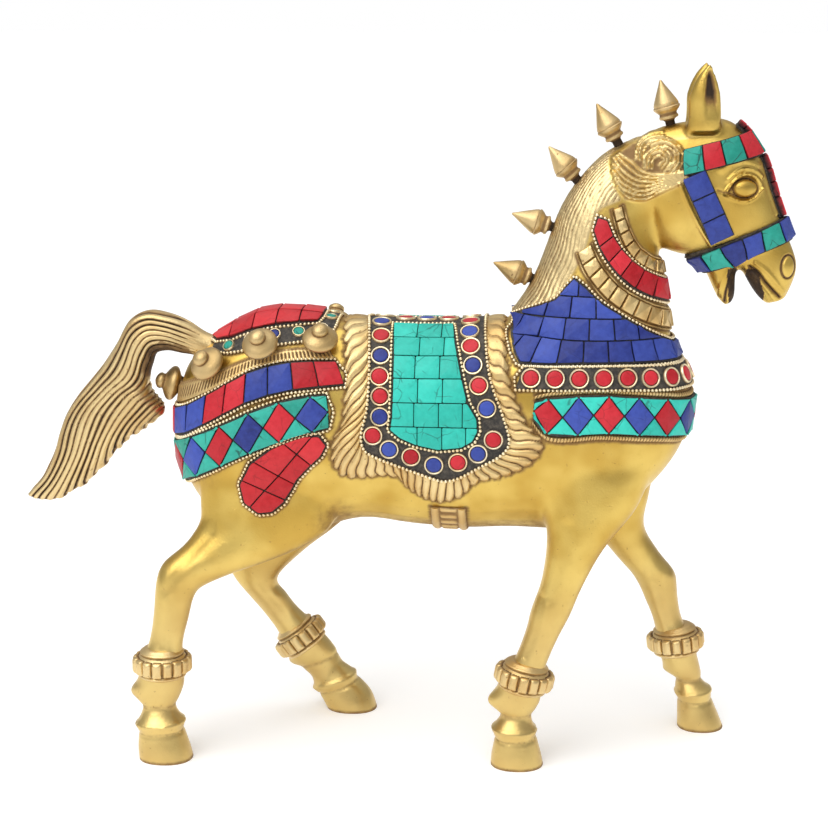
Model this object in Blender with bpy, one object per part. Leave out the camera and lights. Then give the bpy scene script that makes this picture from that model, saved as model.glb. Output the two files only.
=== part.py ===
"""Brass horse statue in a walking stance, dressed in stone-set trappings.

The body is cast brass in separate castings that meet at flat joint faces: a trunk, a neck, a head,
four legs and a tail. Over it lie a saddle blanket, collars and straps, and every
coloured field is a bed of cut stones. All sizes are real sizes in millimetres, turned into metres
as meshes are made. The horse faces +X, its right side faces -Y, and it stands on z = 0.
"""

import math
from collections import namedtuple

import bmesh
import bpy
from mathutils import Vector
from mathutils.bvhtree import BVHTree
from mathutils.geometry import tessellate_polygon

# The statue's height, hoof to ear tip, and the height at which its slices and drawings are drawn:
# the whole statue is cast larger or smaller with its height.
STATUE_HEIGHT = 344.8
DRAWN_HEIGHT = 344.8
MM = 0.001 * STATUE_HEIGHT / DRAWN_HEIGHT

SEAT_GAP = 0.3             # air that touching meshes keep between them

# The slices are drawn in a frame whose origin lies off the statue's own: this point of that frame
# is under the middle of the statue, on the ground.
STANCE_MIDDLE = (-6.8, 1.87)
GROUND_Z = 3.5

# Fineness of the cast surface before it is cut into castings, and the reach of its smoothing.
BLEND_VOXEL = 1.2
BLEND_REACH = 4.16
CAST_DETAIL_SHARE = 0.0075  # share of the fine faces that the castings keep

LEG_JOINT_HEIGHT = 113.0  # the legs are brazed on at this height
NECK_JOINT = ((90.0, 216.0), (0.26, 0.966))   # a point (x, z) of the joint face and its normal
HEAD_JOINT = ((119.0, 288.0), (0.98, 0.2))

# A slice through a limb in side view: two opposite edge points (x, z), the slice's middle across
# the horse (y) and its half width across the horse.
Slice = namedtuple("Slice", "edge_a edge_b middle_y half_width")


def side(rows, middle_y=None):
    """Slices from rows of (ax, az, bx, bz, y, half width), or without y where middle_y is given."""
    if middle_y is None:
        return [Slice((r[0], r[1]), (r[2], r[3]), r[4], r[5]) for r in rows]
    return [Slice((r[0], r[1]), (r[2], r[3]), middle_y, r[4]) for r in rows]


# Back and belly of the trunk at each station along it.
TRUNK = side([
    (-118, 178, -118, 162, 5),
    (-116.5, 189, -116.5, 150, 14),
    (-112, 201, -112, 138, 22.5),
    (-103, 209, -103, 126, 30),
    (-90, 218, -90, 117, 34.5),
    (-72, 225.5, -72, 114, 37),
    (-50, 225.5, -50, 116, 37),
    (-25, 222, -25, 122.5, 35),
    (0, 221, 0, 120, 34.5),
    (25, 221.5, 25, 118.5, 35),
    (50, 225, 50, 119.5, 35.5),
    (75, 232, 75, 119, 35.5),
    (95, 232, 95, 122, 34),
    (112, 222, 111, 135, 30.5),
    (126, 212, 124.5, 150, 23.5),
    (134.5, 199, 132.5, 163, 14),
    (137, 189, 136, 175, 5),
], middle_y=0)

# Crest and throat of the neck.
NECK = side([
    (46, 205, 130, 175, 31),
    (48, 226, 128, 205, 28),
    (55, 238, 125.5, 222, 24.5),
    (61, 250, 123, 238, 21.5),
    (66, 264, 120.5, 252, 19),
    (72, 280, 118, 264, 17),
    (81, 294, 118, 272, 15),
    (93, 306, 120, 278, 13.5),
    (108, 313.5, 126, 284, 13),
], middle_y=0)

# Face line and jaw line of the skull, down to the upper lip.
SKULL = side([
    (106, 311, 118, 276, 9),
    (118, 318, 119, 262, 13),
    (134, 321.5, 128, 257.5, 15.5),
    (150, 322, 140, 256, 15.5),
    (161, 313, 148, 252, 14.5),
    (167, 302.5, 152, 250, 13.5),
    (171.5, 289.5, 155, 250.5, 11.5),
    (177, 275, 157.5, 250.5, 10),
    (182.5, 262.5, 160, 248.5, 10),
    (185.5, 253.5, 163.5, 242.5, 10),
    (184.5, 246, 167.5, 237, 8.5),
    (180.5, 236, 171.5, 233.5, 5.5),
], middle_y=0)

# Upper and chin-side edge of the dropped lower jaw.
JAW = side([
    (155, 262, 137, 259, 10),
    (156.5, 253, 141, 251, 9),
    (156.5, 246, 144.5, 243.5, 7.5),
    (156.5, 238, 148, 236.5, 6.5),
    (155, 233.5, 151.5, 232.5, 4),
], middle_y=0)

EAR = side([
    (130, 316, 147, 317, 5.5),
    (130.8, 325, 146.8, 326, 5.5),
    (130.8, 333, 146, 334, 5.2),
    (133.2, 340, 144.4, 340.5, 4),
    (137, 346, 142.2, 346, 2.2),
    (139.8, 348.6, 141.2, 348.6, 0.9),
], middle_y=0)
EAR_SPREAD = 10.0          # each ear's middle from the poll's middle
EAR_SPLAY = 4.0            # how much further out its tip stands

# Back and front edge of each leg, from the thigh or forearm down to the sole.
RIGHT_HIND = side([
    (-106, 150, -36, 150, -19, 16),
    (-105, 134, -37, 126, -22, 14.5),
    (-105, 124, -49, 114.5, -24.5, 13),
    (-112, 113, -68, 106, -27.5, 11.5),
    (-122, 104.5, -88, 99, -30, 10),
    (-125.5, 98, -103, 92, -31, 9.5),
    (-126.8, 89, -107.5, 86, -32, 9),
    (-127.8, 77, -110, 76, -33, 8.3),
    (-130, 64, -113, 64, -34, 8),
    (-134, 55, -113, 55, -35, 9.5),
    (-136, 45, -112.5, 44, -35.5, 10),
    (-138.5, 38.5, -113.5, 39, -36, 9),
    (-134, 31, -116.5, 32, -36.5, 7.6),
    (-134.5, 27, -116.5, 28.5, -36.8, 8.2),
    (-137, 21.5, -112.8, 23.5, -37, 11),
    (-136, 17.5, -113, 19, -37, 10.5),
    (-136.5, 9, -110, 9, -37, 12),
    (-135.5, 0, -108, 0, -37, 12.5),
])
LEFT_HIND = side([
    (-104, 150, -34, 150, 19, 16),
    (-103, 128, -31, 124, 22, 14.5),
    (-102, 108, -42, 110, 24.5, 13),
    (-102.3, 91, -59, 96, 27, 11.5),
    (-98, 79.2, -75, 79, 29, 9),
    (-91.7, 70, -70.3, 69, 31, 8.5),
    (-83.6, 58.8, -65, 60.5, 34, 8),
    (-76, 47, -58.5, 53.5, 36, 8.8),
    (-73, 37, -54, 48, 37, 9.8),
    (-69.5, 30.5, -49, 42, 38, 9.5),
    (-63.5, 25.5, -44.6, 35.5, 39, 8),
    (-58.5, 20.5, -42.5, 29.5, 40, 8.2),
    (-57.5, 13.5, -36, 24, 41, 11),
    (-54.5, 10.5, -34.4, 21, 41, 10.5),
    (-50.5, 3, -26.5, 12, 41, 12),
    (-49, 0, -22.6, 0, 41, 12),
])
RIGHT_FORE = side([
    (60, 150, 118, 155, -18, 16),
    (64, 136, 112.7, 135.5, -21, 15),
    (67.5, 121, 96, 115, -24.5, 13),
    (65.5, 100, 85.5, 96, -27.5, 10.5),
    (60.4, 84, 80.1, 82.5, -28.8, 9.5),
    (57.8, 73, 73.6, 69, -29.4, 8.4),
    (52.6, 58.8, 68.3, 55.5, -30, 8),
    (46.5, 52, 67, 47, -30, 9.5),
    (44.5, 45, 66, 41.5, -30, 10),
    (40.7, 37, 66, 37.5, -30, 9),
    (45.5, 30, 62, 30, -30, 7.6),
    (45, 27, 61.5, 27, -30, 8.2),
    (41.8, 22.5, 63.8, 21.8, -30, 11),
    (43, 17.4, 64, 18.5, -30, 10.5),
    (41.5, 9, 66.5, 9, -30, 12),
    (41, 0, 68.3, 0, -30, 12.5),
])
LEFT_FORE = side([
    (66, 150, 122, 150, 18, 16),
    (76, 130, 119, 130, 21, 15),
    (92, 110, 116.5, 114, 24, 12.5),
    (103, 96, 124.5, 99, 26.5, 10.5),
    (110, 88, 133, 88, 28, 10),
    (114.5, 80.8, 134.5, 80.5, 29, 9.2),
    (118.4, 72, 135.4, 72, 29.3, 8.5),
    (122.3, 62.5, 137.9, 61.5, 29.6, 8),
    (125, 51.5, 144, 51.5, 30, 9.5),
    (127, 41.5, 146, 42.5, 30, 10),
    (129.6, 35.5, 148, 35.2, 30, 9),
    (135, 29.5, 148.8, 30, 30, 7.6),
    (135, 27, 149.5, 28, 30, 8.2),
    (135.2, 22, 153.6, 24, 30, 10.8),
    (136.2, 18, 154.3, 19, 30, 10.5),
    (136.5, 9, 158.5, 9, 30, 12),
    (136.5, 0, 162, 0, 30, 12.3),
])

# Outer and inner edge of the arched tail, from the dock to the tip.
TAIL = side([
    (-103.5, 214.5, -109, 203, 7),
    (-113, 220, -116, 204.5, 8),
    (-123, 224, -123.5, 206, 9.5),
    (-133.5, 225.5, -130, 204, 10.5),
    (-142.5, 220.5, -132.5, 198, 11),
    (-149.5, 208.5, -134, 191.5, 11),
    (-156, 199, -132.5, 184, 11),
    (-164, 189.5, -126.5, 175.5, 11),
    (-171.8, 180, -133.4, 168, 11),
    (-176.5, 172, -141.5, 162.5, 10.5),
    (-180, 163.5, -149, 156.5, 10),
    (-183, 154.4, -156, 148.5, 9.5),
    (-187, 145.6, -165.5, 138.5, 8),
    (-191, 138.4, -175.2, 131.8, 6.5),
    (-195.8, 132.6, -185.0, 127, 4.5),
    (-198.8, 129.2, -194.2, 126.9, 2),
], middle_y=0)
TAIL_STRANDS = 6          # ridges of hair on each face of the tail
STRAND_RELIEF = 1.1        # depth of the grooves between them
ANKLET_RADIUS = 14.6
# Height along the leg and radius as a share of the anklet's own: a swelling row of studs between
# a lower and a narrower upper ring.
ANKLET_PROFILE = [(-7.4, 0.78), (-6.4, 0.86), (-4.4, 0.86), (0, 1.0), (3.8, 0.9), (4.3, 0.77),
                  (7.2, 0.72)]
ANKLET_SIDES = 10
Anklet = namedtuple("Anklet", "middle lean")   # its middle and the lean of its axis towards -X
ANKLETS = {
    "right_hind_leg": Anklet((-123.6, -35.0, 53.0), 0),
    "left_hind_leg": Anklet((-64.2, 36.8, 44.2), 36),
    "right_fore_leg": Anklet((57.6, -30.0, 49.5), -11),
    "left_fore_leg": Anklet((134.6, 30.0, 50.5), 7),
}

# Stones and trappings, as heights above the skin of the castings.
BLANKET_THICKNESS = 1.8
FRINGE_RELIEF = 1.1        # how far each pleat of the fringe stands proud
FRINGE_PLEATS = 22         # pleats from ridge to ridge on one side
RIDGE_STOPS = 6            # bends of the border along the ridge
BED_HEIGHT = 2.0           # the resin bed of a stone field that lies on the castings
STONE_RISE = 0.9           # a stone's top above its bed
STONE_BEVEL = 0.55         # the width of its sloping edge
SADDLE_BED_HEIGHT = 3.0    # the same where a field lies on the blanket
SINK = 1.2                 # how far a strap reaches down before its seat is cut
THINNEST = 0.5             # a slab is never thinner than this
PROBE = 6.0                # how far over and under a place its carrier is looked for
PROBES = 5                 # places looked at along each side of an underside's facet
BEDDING_ROUNDS = 4         # how often an underside is lifted where it is still too low
COLLET_RADIUS = 4.6        # the ring that holds a round stone
COLLET_RISE = 1.0
COLLET_ROOT = 0.4          # how far it reaches into the bed
STRAP_HEIGHT = 3.0         # halter straps
FIELD_CLEARANCE = 0.4      # between a field and the border around it

# Drawings are in millimetres and are wrapped round the body. The saddle and croup drawing is
# rolled round the trunk's length: (x, distance down from the ridge). The chest, breech and neck
# drawings are rolled round an upright line: (distance round from the middle, z).
ROLL = 40.0
NECK_ROLL = 25.0
TRUNK_AXIS_Z = 170.0
CHEST_AXIS_X = 88.0
BREECH_AXIS_X = -70.0
NECK_AXIS_X = 92.0

# Half of the blanket's edge and of the bead line inside its fringe, ridge to ridge.
BLANKET_EDGE = [(-34, 0), (-32.5, 12), (-31, 25), (-30.5, 38), (-32, 55), (-36, 63), (-37, 75),
                (-32, 83), (-22, 84.5), (-11, 83), (-4, 84), (0, 89.5), (8, 94.5), (16, 96.5),
                (26, 92.5), (33, 85.5), (46, 82), (57, 76.5), (63.5, 69.5), (65, 62), (57, 52),
                (51.5, 40), (48, 30), (46, 15), (45, 0)]
BORDER_EDGE = [(-22.5, 0), (-20.5, 13), (-19.2, 27), (-19.2, 37), (-20, 48), (-22.5, 59),
               (-21.5, 68), (-16, 72.5), (-5, 77), (4, 80.5), (12, 83.3), (18, 84.5), (25, 82.5),
               (35, 76.5), (44, 71), (48.5, 65.5), (49, 59.5), (47, 52), (44.5, 44.5), (41.5, 37.5),
               (39, 30), (37.5, 22), (36.5, 12), (36, 0)]
SADDLE_FIELD = [(-9, 8), (20.5, 8), (22, 18), (24.3, 26.5), (27, 36), (29, 43), (33.5, 50.5),
                (34, 57), (31.5, 62.5), (26, 66), (15, 67.5), (4, 65), (-3.5, 61.5), (-8.5, 57),
                (-7.5, 50), (-7.2, 36), (-7.4, 24)]
SADDLE_ROWS = [16, 23.6, 32.5, 43, 55]
SADDLE_COLUMNS = [4, 16, 27.5]
SADDLE_RINGS = [(-15.2, 6.2), (-14.4, 14.9), (-13.9, 23.6), (-14, 31.8), (-13.4, 40.2), (-13.4, 50),
                (-16.8, 60.3), (-8.9, 67.9), (1.8, 71.9), (12.9, 76), (24.5, 74.2), (34.2, 69.2),
                (41.6, 61.2), (38.3, 45.2), (34.3, 35.2), (31.2, 27), (29.8, 19.4), (28.9, 12.6),
                (28.6, 5.2)]
SPINE_RINGS = [(-4, 0), (6.5, 0), (17.5, 0)]
# The girth strap's rear and front edge, and how far under the blanket's edge it starts on each
# side of the belly.
GIRTH_STRAP = (12.5, 26.0)
GIRTH_CLEARANCE = 3.0
GIRTH_LINKS = 4

# Half of the chest field's upper edge, from the middle of the chest round to the withers.
LAPIS_UPPER = [(0, 215), (9, 215.5), (20, 219.5), (32, 225), (44.5, 231), (58, 236.5), (69.5, 243),
               (80, 247), (86, 242.5), (91.5, 236.5), (104, 232), (118, 227.5)]
LAPIS_LOWER = [(0, 206.5), (47, 208), (70, 208), (88, 207.2), (97.5, 207.2), (105, 217)]
LAPIS_ROWS = [218.3, 228.4, 238.6]
LAPIS_COLUMNS = 18
LAPIS_COURSE_Z = 213.0     # the height at which the columns are evenly spaced

# The edges of a band at stations from the middle round to its end: (round, upper z, lower z).
Station = namedtuple("Station", "a upper lower")
CHEST_RING_BAND = [Station(0, 205, 194.3), Station(20, 205.2, 194.6), Station(47, 206.3, 195.7),
                   Station(79, 206, 195.5), Station(96, 205.6, 195.3)]
CHEST_RINGS = 17
CHEST_DIAMOND_BAND = [Station(0, 188, 170.5), Station(14, 188.5, 171), Station(29, 190.8, 173.2),
                      Station(57, 193, 175.2), Station(82, 191.6, 174), Station(89.5, 189.5, 182)]
CHEST_DIAMONDS = 13
BREECH_TILE_BAND = [Station(0, 178.5, 165.5), Station(12, 179.5, 166.5), Station(21, 181.7, 168.2),
                    Station(31, 187.8, 174), Station(42, 194.8, 180.8), Station(55, 201, 187.4),
                    Station(72, 204.8, 192.4), Station(87, 206, 194.6), Station(98, 206, 196)]
BREECH_TILES = 19
BREECH_DIAMOND_BAND = [Station(0, 163, 143), Station(12, 163.4, 143.6), Station(20, 164.8, 145.5),
                       Station(32.5, 171, 151), Station(46.5, 178, 158.5), Station(61, 184.2, 164.6),
                       Station(78, 189.2, 170.8), Station(92, 191.2, 175.6)]
BREECH_DIAMONDS = 13
BREECH_CARVED_BAND = [Station(0, 191, 181), Station(12, 192, 182.2), Station(22, 195.5, 185.5),
                      Station(32, 199.5, 190.8), Station(44, 204.5, 197.8), Station(58, 208.6, 203.4),
                      Station(76, 211.6, 206.4), Station(98, 213, 207.6)]
CARVED_BAND_HEIGHT = 1.6
CARVED_BAND_LINKS = 16

# Half of each collar's middle line in the neck drawing, from the throat to its end.
Collar = namedtuple("Collar", "line half_width squares height rise")
COLLARS = {
    "coral_collar": Collar([(0, 239.6), (8, 241.3), (17, 245.3), (24.5, 250.8), (31.5, 257.8),
                            (37, 265), (40.8, 272.5)], 5.6, 13, BED_HEIGHT, STONE_RISE),
    "upper_square_collar": Collar([(0, 250.6), (9, 252.4), (16, 256.3), (21, 261), (24.5, 267),
                                   (27, 273), (29.3, 281)], 3.4, 14, 1.6, 0),
    "lower_square_collar": Collar([(0, 225.6), (9, 227.3), (17, 230.6), (25, 235), (32.5, 240),
                                   (39.5, 246.5), (45.5, 253.3), (50.5, 261.5)], 3.9, 18, 1.6, 0),
}

CREST_FIELD = [(-99, 0), (-98.5, 5), (-95, 12), (-88, 15), (-73, 14.2), (-58, 12.5), (-46, 10.5),
               (-44.5, 6), (-44.5, 0)]
CREST_ROWS = [-5.5, 5.5]
CREST_COLUMNS = [-88, -77, -66, -55]
CREST_BORDER = [(-97.8, 15), (-92, 20.5), (-84, 22.3), (-72, 22), (-56, 20.5), (-42, 17.5),
                (-37.5, 12), (-36.5, 0)]
CREST_RINGS = [(-88.5, 18.4), (-77.8, 18.3), (-66, 17.6), (-54.5, 16.2), (-43.5, 13.6), (-40.6, 5)]
CREST_RING_RADIUS = 2.7

THIGH_LOBE = [(-50, 171.5), (-43, 171.5), (-39.5, 167), (-42.5, 161.5), (-48.5, 156), (-54, 150),
              (-57.5, 143.5), (-61, 137.5), (-66.5, 132.8), (-73, 132), (-80, 137), (-82, 146),
              (-76.5, 157), (-66, 165), (-57.5, 169)]
THIGH_LOBE_CUTS = [((-77, 135), (-51.8, 165)), ((-80.4, 148.3), (-60.8, 139.3)),
                   ((-74, 158), (-52.9, 146.4)), ((-60, 168), (-43.8, 154.8))]

# The halter's straps, each in a plane through the head: a point of the plane (x, z), the direction
# in which it rises along the face, the half width and the reach to each side in degrees.
Strap = namedtuple("Strap", "middle slope half_width reach tiles")
NOSEBAND = Strap((159.5, 258.8), 23.0, 5.4, 180, 12)
BROWBAND = Strap((147.0, 306.5), 14.0, 5.6, 142, 9)
STRAP_START = 27.0         # how far out the skin is looked for
CHEEKPIECE = [(134.2, 297.0), (138.2, 288), (142.6, 278.5), (147.4, 269.2)]
CHEEKPIECE_HALF_WIDTH = 5.0
CHEEKPIECE_HEIGHT = 2.6
CHEEKPIECE_TILES = 3
# The strip on the nose: upper end and lower end in degrees, seen from the middle of the head, and
# its number of stones.
FACE_AXIS = (140.0, 290.0)
FACE_STRIPS = {"face_strip_upper": (64, 51.5, 2), "face_strip_lower": (27.5, -18, 4)}
FACE_STRIP_HALF_WIDTH = 4.6
FACE_STRIP_HEIGHT = 4.0

# Turned ornaments: height above the skin and radius.
SPIKE_PROFILE = [(-3, 2.4), (3.6, 2.4), (4.4, 4.6), (6.4, 4.1), (9.2, 6.4), (11.0, 5.6),
                 (19.0, 1.9), (22.6, 0)]
SPIKES = [((60, 243.4), (38.6, 252)), ((69.3, 269), (48.9, 275.6)), ((80.1, 291.4), (65.4, 308.2)),
          ((98.9, 309.3), (88.9, 327.1)), ((123.5, 318.5), (117.7, 340.7))]
KNOB_PROFILE = [(-4, 4.3), (1.8, 4.4), (4.2, 8.6), (6.8, 8.6), (10.2, 3.4), (12.6, 3.8), (14.2, 0)]
KNOB_ROW = [(-43.5, 23.6), (-71.5, 25.8), (-96.5, 29.0)]   # in the croup drawing
REAR_KNOB_Z = 187.5
TURNED_SIDES = 8
COLLET_SIDES = 6

# Colours and finishes: colour, roughness, metallic. A piece has the finish of the first row that
# its name starts with, or the castings' own.
CAST_BRASS = ((0.72, 0.52, 0.20), 0.32, 1.0)
CARVED_BRASS = ((0.74, 0.58, 0.30), 0.42, 1.0)
CORAL = ((0.78, 0.05, 0.06), 0.5, 0.0)
PINK_CORAL = ((0.80, 0.12, 0.16), 0.5, 0.0)
LAPIS = ((0.07, 0.10, 0.50), 0.45, 0.0)
TURQUOISE = ((0.06, 0.62, 0.52), 0.5, 0.0)
TEAL = ((0.03, 0.36, 0.26), 0.5, 0.0)
RESIN = ((0.10, 0.09, 0.07), 0.6, 0.0)
FINISHES = [("saddle_turquoise", TURQUOISE), ("saddle_ring", RESIN), ("chest_lapis", LAPIS),
            ("chest_ring", RESIN), ("chest_diamond", LAPIS), ("coral_collar", CORAL),
            ("croup_coral", PINK_CORAL), ("croup_ring", RESIN), ("breech_tile", CORAL),
            ("breech_diamond", TEAL), ("thigh_lobe", PINK_CORAL), ("noseband", LAPIS),
            ("browband", TEAL), ("cheekpiece", LAPIS), ("face_strip", CORAL),
            ("saddle_blanket", CARVED_BRASS), ("upper_square", CARVED_BRASS),
            ("lower_square", CARVED_BRASS), ("croup_carved", CARVED_BRASS),
            ("mane_spike", CARVED_BRASS), ("knob", CARVED_BRASS), ("girth", CARVED_BRASS)]
SMOOTH_UNDER = 40.0        # edges that bend less than this many degrees are shaded smooth


def link(name, mesh):
    """A new object that holds a mesh."""
    obj = bpy.data.objects.new(name, mesh)
    bpy.context.collection.objects.link(obj)
    return obj


def drop_object(obj):
    """Takes a helper object out of the file again."""
    mesh = obj.data
    bpy.data.objects.remove(obj)
    bpy.data.meshes.remove(mesh)


def mesh_from(name, points, faces):
    """A mesh in metres from points in millimetres."""
    mesh = bpy.data.meshes.new(name)
    mesh.from_pydata([Vector(p) * MM for p in points], [], faces)
    bm = bmesh.new()
    bm.from_mesh(mesh)
    bmesh.ops.recalc_face_normals(bm, faces=bm.faces)
    bm.to_mesh(mesh)
    bm.free()
    return mesh


def evaluated_copy(obj, name):
    """The mesh that an object's modifiers make."""
    bpy.context.view_layer.update()
    depsgraph = bpy.context.evaluated_depsgraph_get()
    mesh = bpy.data.meshes.new_from_object(obj.evaluated_get(depsgraph))
    mesh.name = name
    return mesh


def catmull_rom(values, steps):
    """Points on a smooth curve through rows of numbers, with a number of steps between rows."""
    out = []
    last = len(values) - 1
    for i in range(last):
        p0, p1, p2, p3 = values[max(i - 1, 0)], values[i], values[i + 1], values[min(i + 2, last)]
        for k in range(steps):
            t = k / steps
            out.append(tuple(
                0.5 * (2 * b + (c - a) * t + (2 * a - 5 * b + 4 * c - d) * t * t
                       + (3 * b - a - 3 * c + d) * t ** 3)
                for a, b, c, d in zip(p0, p1, p2, p3)))
    out.append(tuple(values[last]))
    return out


def loft(name, slices, steps=4, around=20, roundness=2.0, relief=None):
    """A closed skin over a limb's slices; each ring is a superellipse of the given roundness."""
    rows = catmull_rom([(*s.edge_a, *s.edge_b, s.middle_y, s.half_width) for s in slices], steps)
    points = []
    for station, (ax, az, bx, bz, middle_y, half_width) in enumerate(rows):
        for k in range(around):
            angle = 2 * math.pi * k / around
            c, s = math.cos(angle), math.sin(angle)
            along = math.copysign(abs(c) ** (2 / roundness), c)
            across = math.copysign(abs(s) ** (2 / roundness), s)
            if relief:
                across *= 1 + relief(k, station, len(rows)) / max(half_width, 1)
            points.append(((ax + bx) / 2 + (bx - ax) / 2 * along, middle_y + half_width * across,
                           (az + bz) / 2 + (bz - az) / 2 * along))
    faces = [[r * around + k, r * around + (k + 1) % around, (r + 1) * around + (k + 1) % around,
              (r + 1) * around + k] for r in range(len(rows) - 1) for k in range(around)]
    faces.append(list(range(around)))
    faces.append([(len(rows) - 1) * around + k for k in range(around)])
    return link(name, mesh_from(name, points, faces))


def mirrored(slices, spread, splay):
    """The two ears: the same slices to each side, leaning outwards towards the tip."""
    out = []
    for sign in (-1, 1):
        last = len(slices) - 1
        out.append([s._replace(middle_y=sign * (spread + splay * (i / last) ** 2))
                    for i, s in enumerate(slices)])
    return out


def join_meshes(name, objects):
    """One mesh that holds the helpers' skins, and the helpers are dropped."""
    bm = bmesh.new()
    for obj in objects:
        bm.from_mesh(obj.data)
        drop_object(obj)
    mesh = bpy.data.meshes.new(name)
    bm.to_mesh(mesh)
    bm.free()
    return mesh


def blended_body():
    """The whole body without its tail as one smooth skin."""
    limbs = [loft("trunk_skin", TRUNK, around=32, roundness=2.3),
             loft("neck_skin", NECK, around=24),
             loft("skull_skin", SKULL, around=24, roundness=2.4),
             loft("jaw_skin", JAW, around=16)]
    limbs += [loft("ear_skin", ear, around=14) for ear in mirrored(EAR, EAR_SPREAD, EAR_SPLAY)]
    limbs += [loft("leg_skin", leg, around=20, roundness=2.2)
              for leg in (RIGHT_HIND, LEFT_HIND, RIGHT_FORE, LEFT_FORE)]
    body = link("body_skin", join_meshes("body_skin", limbs))
    remesh = body.modifiers.new("blend", "REMESH")
    remesh.mode = "VOXEL"
    remesh.voxel_size = BLEND_VOXEL * MM
    smooth = body.modifiers.new("smooth", "SMOOTH")
    smooth.factor = 0.5
    smooth.iterations = round((BLEND_REACH / BLEND_VOXEL) ** 2)
    mesh = evaluated_copy(body, "body_fine")
    drop_object(body)
    return mesh


def thinned(mesh, share):
    """The same skin with a share of its faces."""
    obj = link("thinning", mesh.copy())
    decimate = obj.modifiers.new("thin", "DECIMATE")
    decimate.ratio = share
    result = evaluated_copy(obj, "body")
    drop_object(obj)
    return result


def part_at_plane(mesh, point, normal, keep_above, gap=SEAT_GAP / 2):
    """What lies on one side of a joint plane, closed with a flat face that is a gap away from it."""
    normal = Vector(normal).normalized()
    point = Vector(point) * MM + normal * (gap * MM) * (1 if keep_above else -1)
    bm = bmesh.new()
    bm.from_mesh(mesh)
    cut = bmesh.ops.bisect_plane(bm, geom=bm.verts[:] + bm.edges[:] + bm.faces[:], plane_co=point,
                                 plane_no=normal, clear_inner=keep_above,
                                 clear_outer=not keep_above)
    rim = [e for e in cut["geom_cut"] if isinstance(e, bmesh.types.BMEdge)]
    bmesh.ops.holes_fill(bm, edges=rim)
    out = bpy.data.meshes.new(mesh.name)
    bm.to_mesh(out)
    bm.free()
    return out


def lower_parts(mesh):
    """The legs: what lies below the leg joints, as one mesh for each side and end."""
    legs = part_at_plane(mesh, (0, 0, LEG_JOINT_HEIGHT), (0, 0, 1), False)
    out = {}
    for name in ANKLETS:
        flank = part_at_plane(legs, (0, 0, 0), (0, 1, 0), not name.startswith("right"))
        out[name] = part_at_plane(flank, (0, 0, 0), (1, 0, 0), "fore" in name)
    return out


def boolean(obj, other, operation):
    """Cuts or joins two helper solids; the second one is dropped."""
    cut = obj.modifiers.new("cut", "BOOLEAN")
    cut.object = other
    cut.operation = operation
    cut.solver = "EXACT"
    mesh = evaluated_copy(obj, obj.data.name)
    obj.modifiers.clear()
    old = obj.data
    obj.data = mesh
    bpy.data.meshes.remove(old)
    drop_object(other)


def grown(mesh, distance=SEAT_GAP):
    """A helper solid that is larger all round by a distance."""
    copy = mesh.copy()
    for v, n in [(v, v.normal.copy()) for v in copy.vertices]:
        v.co += n * distance * MM
    return link("grown", copy)


def seat(obj, *carriers):
    """Cuts a piece's underside so that it keeps the seat gap to what carries it."""
    for mesh in carriers:
        boolean(obj, grown(mesh), "DIFFERENCE")


def lathe(name, profile, base, direction, sides=TURNED_SIDES):
    """A turned solid: profile rows are (height, radius) along a direction from a base point."""
    axis = Vector(direction).normalized()
    turn_from = Vector((0, 1, 0)).cross(axis)
    if turn_from.length < 0.1:
        turn_from = Vector((1, 0, 0))
    turn_from.normalize()
    other = axis.cross(turn_from)
    points, rings = [], []
    for height, radius in profile:
        middle = Vector(base) + axis * height
        if radius == 0:
            rings.append([len(points)])
            points.append(middle)
            continue
        rings.append(list(range(len(points), len(points) + sides)))
        for k in range(sides):
            angle = 2 * math.pi * k / sides
            points.append(middle + (turn_from * math.cos(angle) + other * math.sin(angle))
                          * radius)
    faces = []
    for low, high in zip(rings, rings[1:]):
        for k in range(sides):
            n = (k + 1) % sides
            if len(high) == 1:
                faces.append([low[k], low[n], high[0]])
            else:
                faces.append([low[k], low[n], high[n], high[k]])
    faces.append(rings[0][::-1])
    if len(rings[-1]) > 1:
        faces.append(rings[-1])
    return link(name, mesh_from(name, points, faces))


class Skin:
    """A skin that drawings are laid on, or that a slab is bedded on."""

    def __init__(self, mesh):
        self.tree = BVHTree.FromPolygons([v.co / MM for v in mesh.vertices],
                                         [list(p.vertices) for p in mesh.polygons])

    def hit(self, origin, direction):
        """Where a line meets the skin, and the skin's outward direction there."""
        place, normal, _, _ = self.tree.ray_cast(origin, direction)
        if place is None:
            place, normal, _, _ = self.tree.find_nearest(origin)
        return place, normal

    def height(self, place, out):
        """How far the skin stands over a place, along an outward direction."""
        hit = self.tree.ray_cast(place + out * PROBE, -out, 2 * PROBE)[0]
        return -PROBE if hit is None else (hit - place).dot(out)


class Rolled:
    """A drawing rolled round a line: one coordinate runs along the line, one round it."""

    def __init__(self, skin, origin, axis, zero, roll, upright=False, start=0.0):
        self.skin, self.roll, self.upright, self.start = skin, roll, upright, start
        self.origin, self.axis, self.zero = Vector(origin), Vector(axis), Vector(zero)
        self.side = self.axis.cross(self.zero)

    def spot(self, a, b):
        """The place on the skin, and its outward direction, of a point of the drawing."""
        along, around = (b, a) if self.upright else (a, b)
        angle = around / self.roll
        out = self.zero * math.cos(angle) + self.side * math.sin(angle)
        middle = self.origin + self.axis * along
        if self.start:
            place, normal = self.skin.hit(middle + out * self.start, -out)
        else:
            place, normal = self.skin.hit(middle, out)
        return place, normal if normal.dot(out) > 0 else out


class FromSide:
    """A drawing in side view (x, z), laid on one flank."""

    def __init__(self, skin, sign):
        self.skin, self.sign = skin, sign

    def spot(self, a, b):
        """The place on the skin, and its outward direction, of a point of the drawing."""
        place, normal = self.skin.hit(Vector((a, self.sign * 100, b)), Vector((0, -self.sign, 0)))
        return place, normal if normal.y * self.sign > 0 else Vector((0, self.sign, 0))


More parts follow.
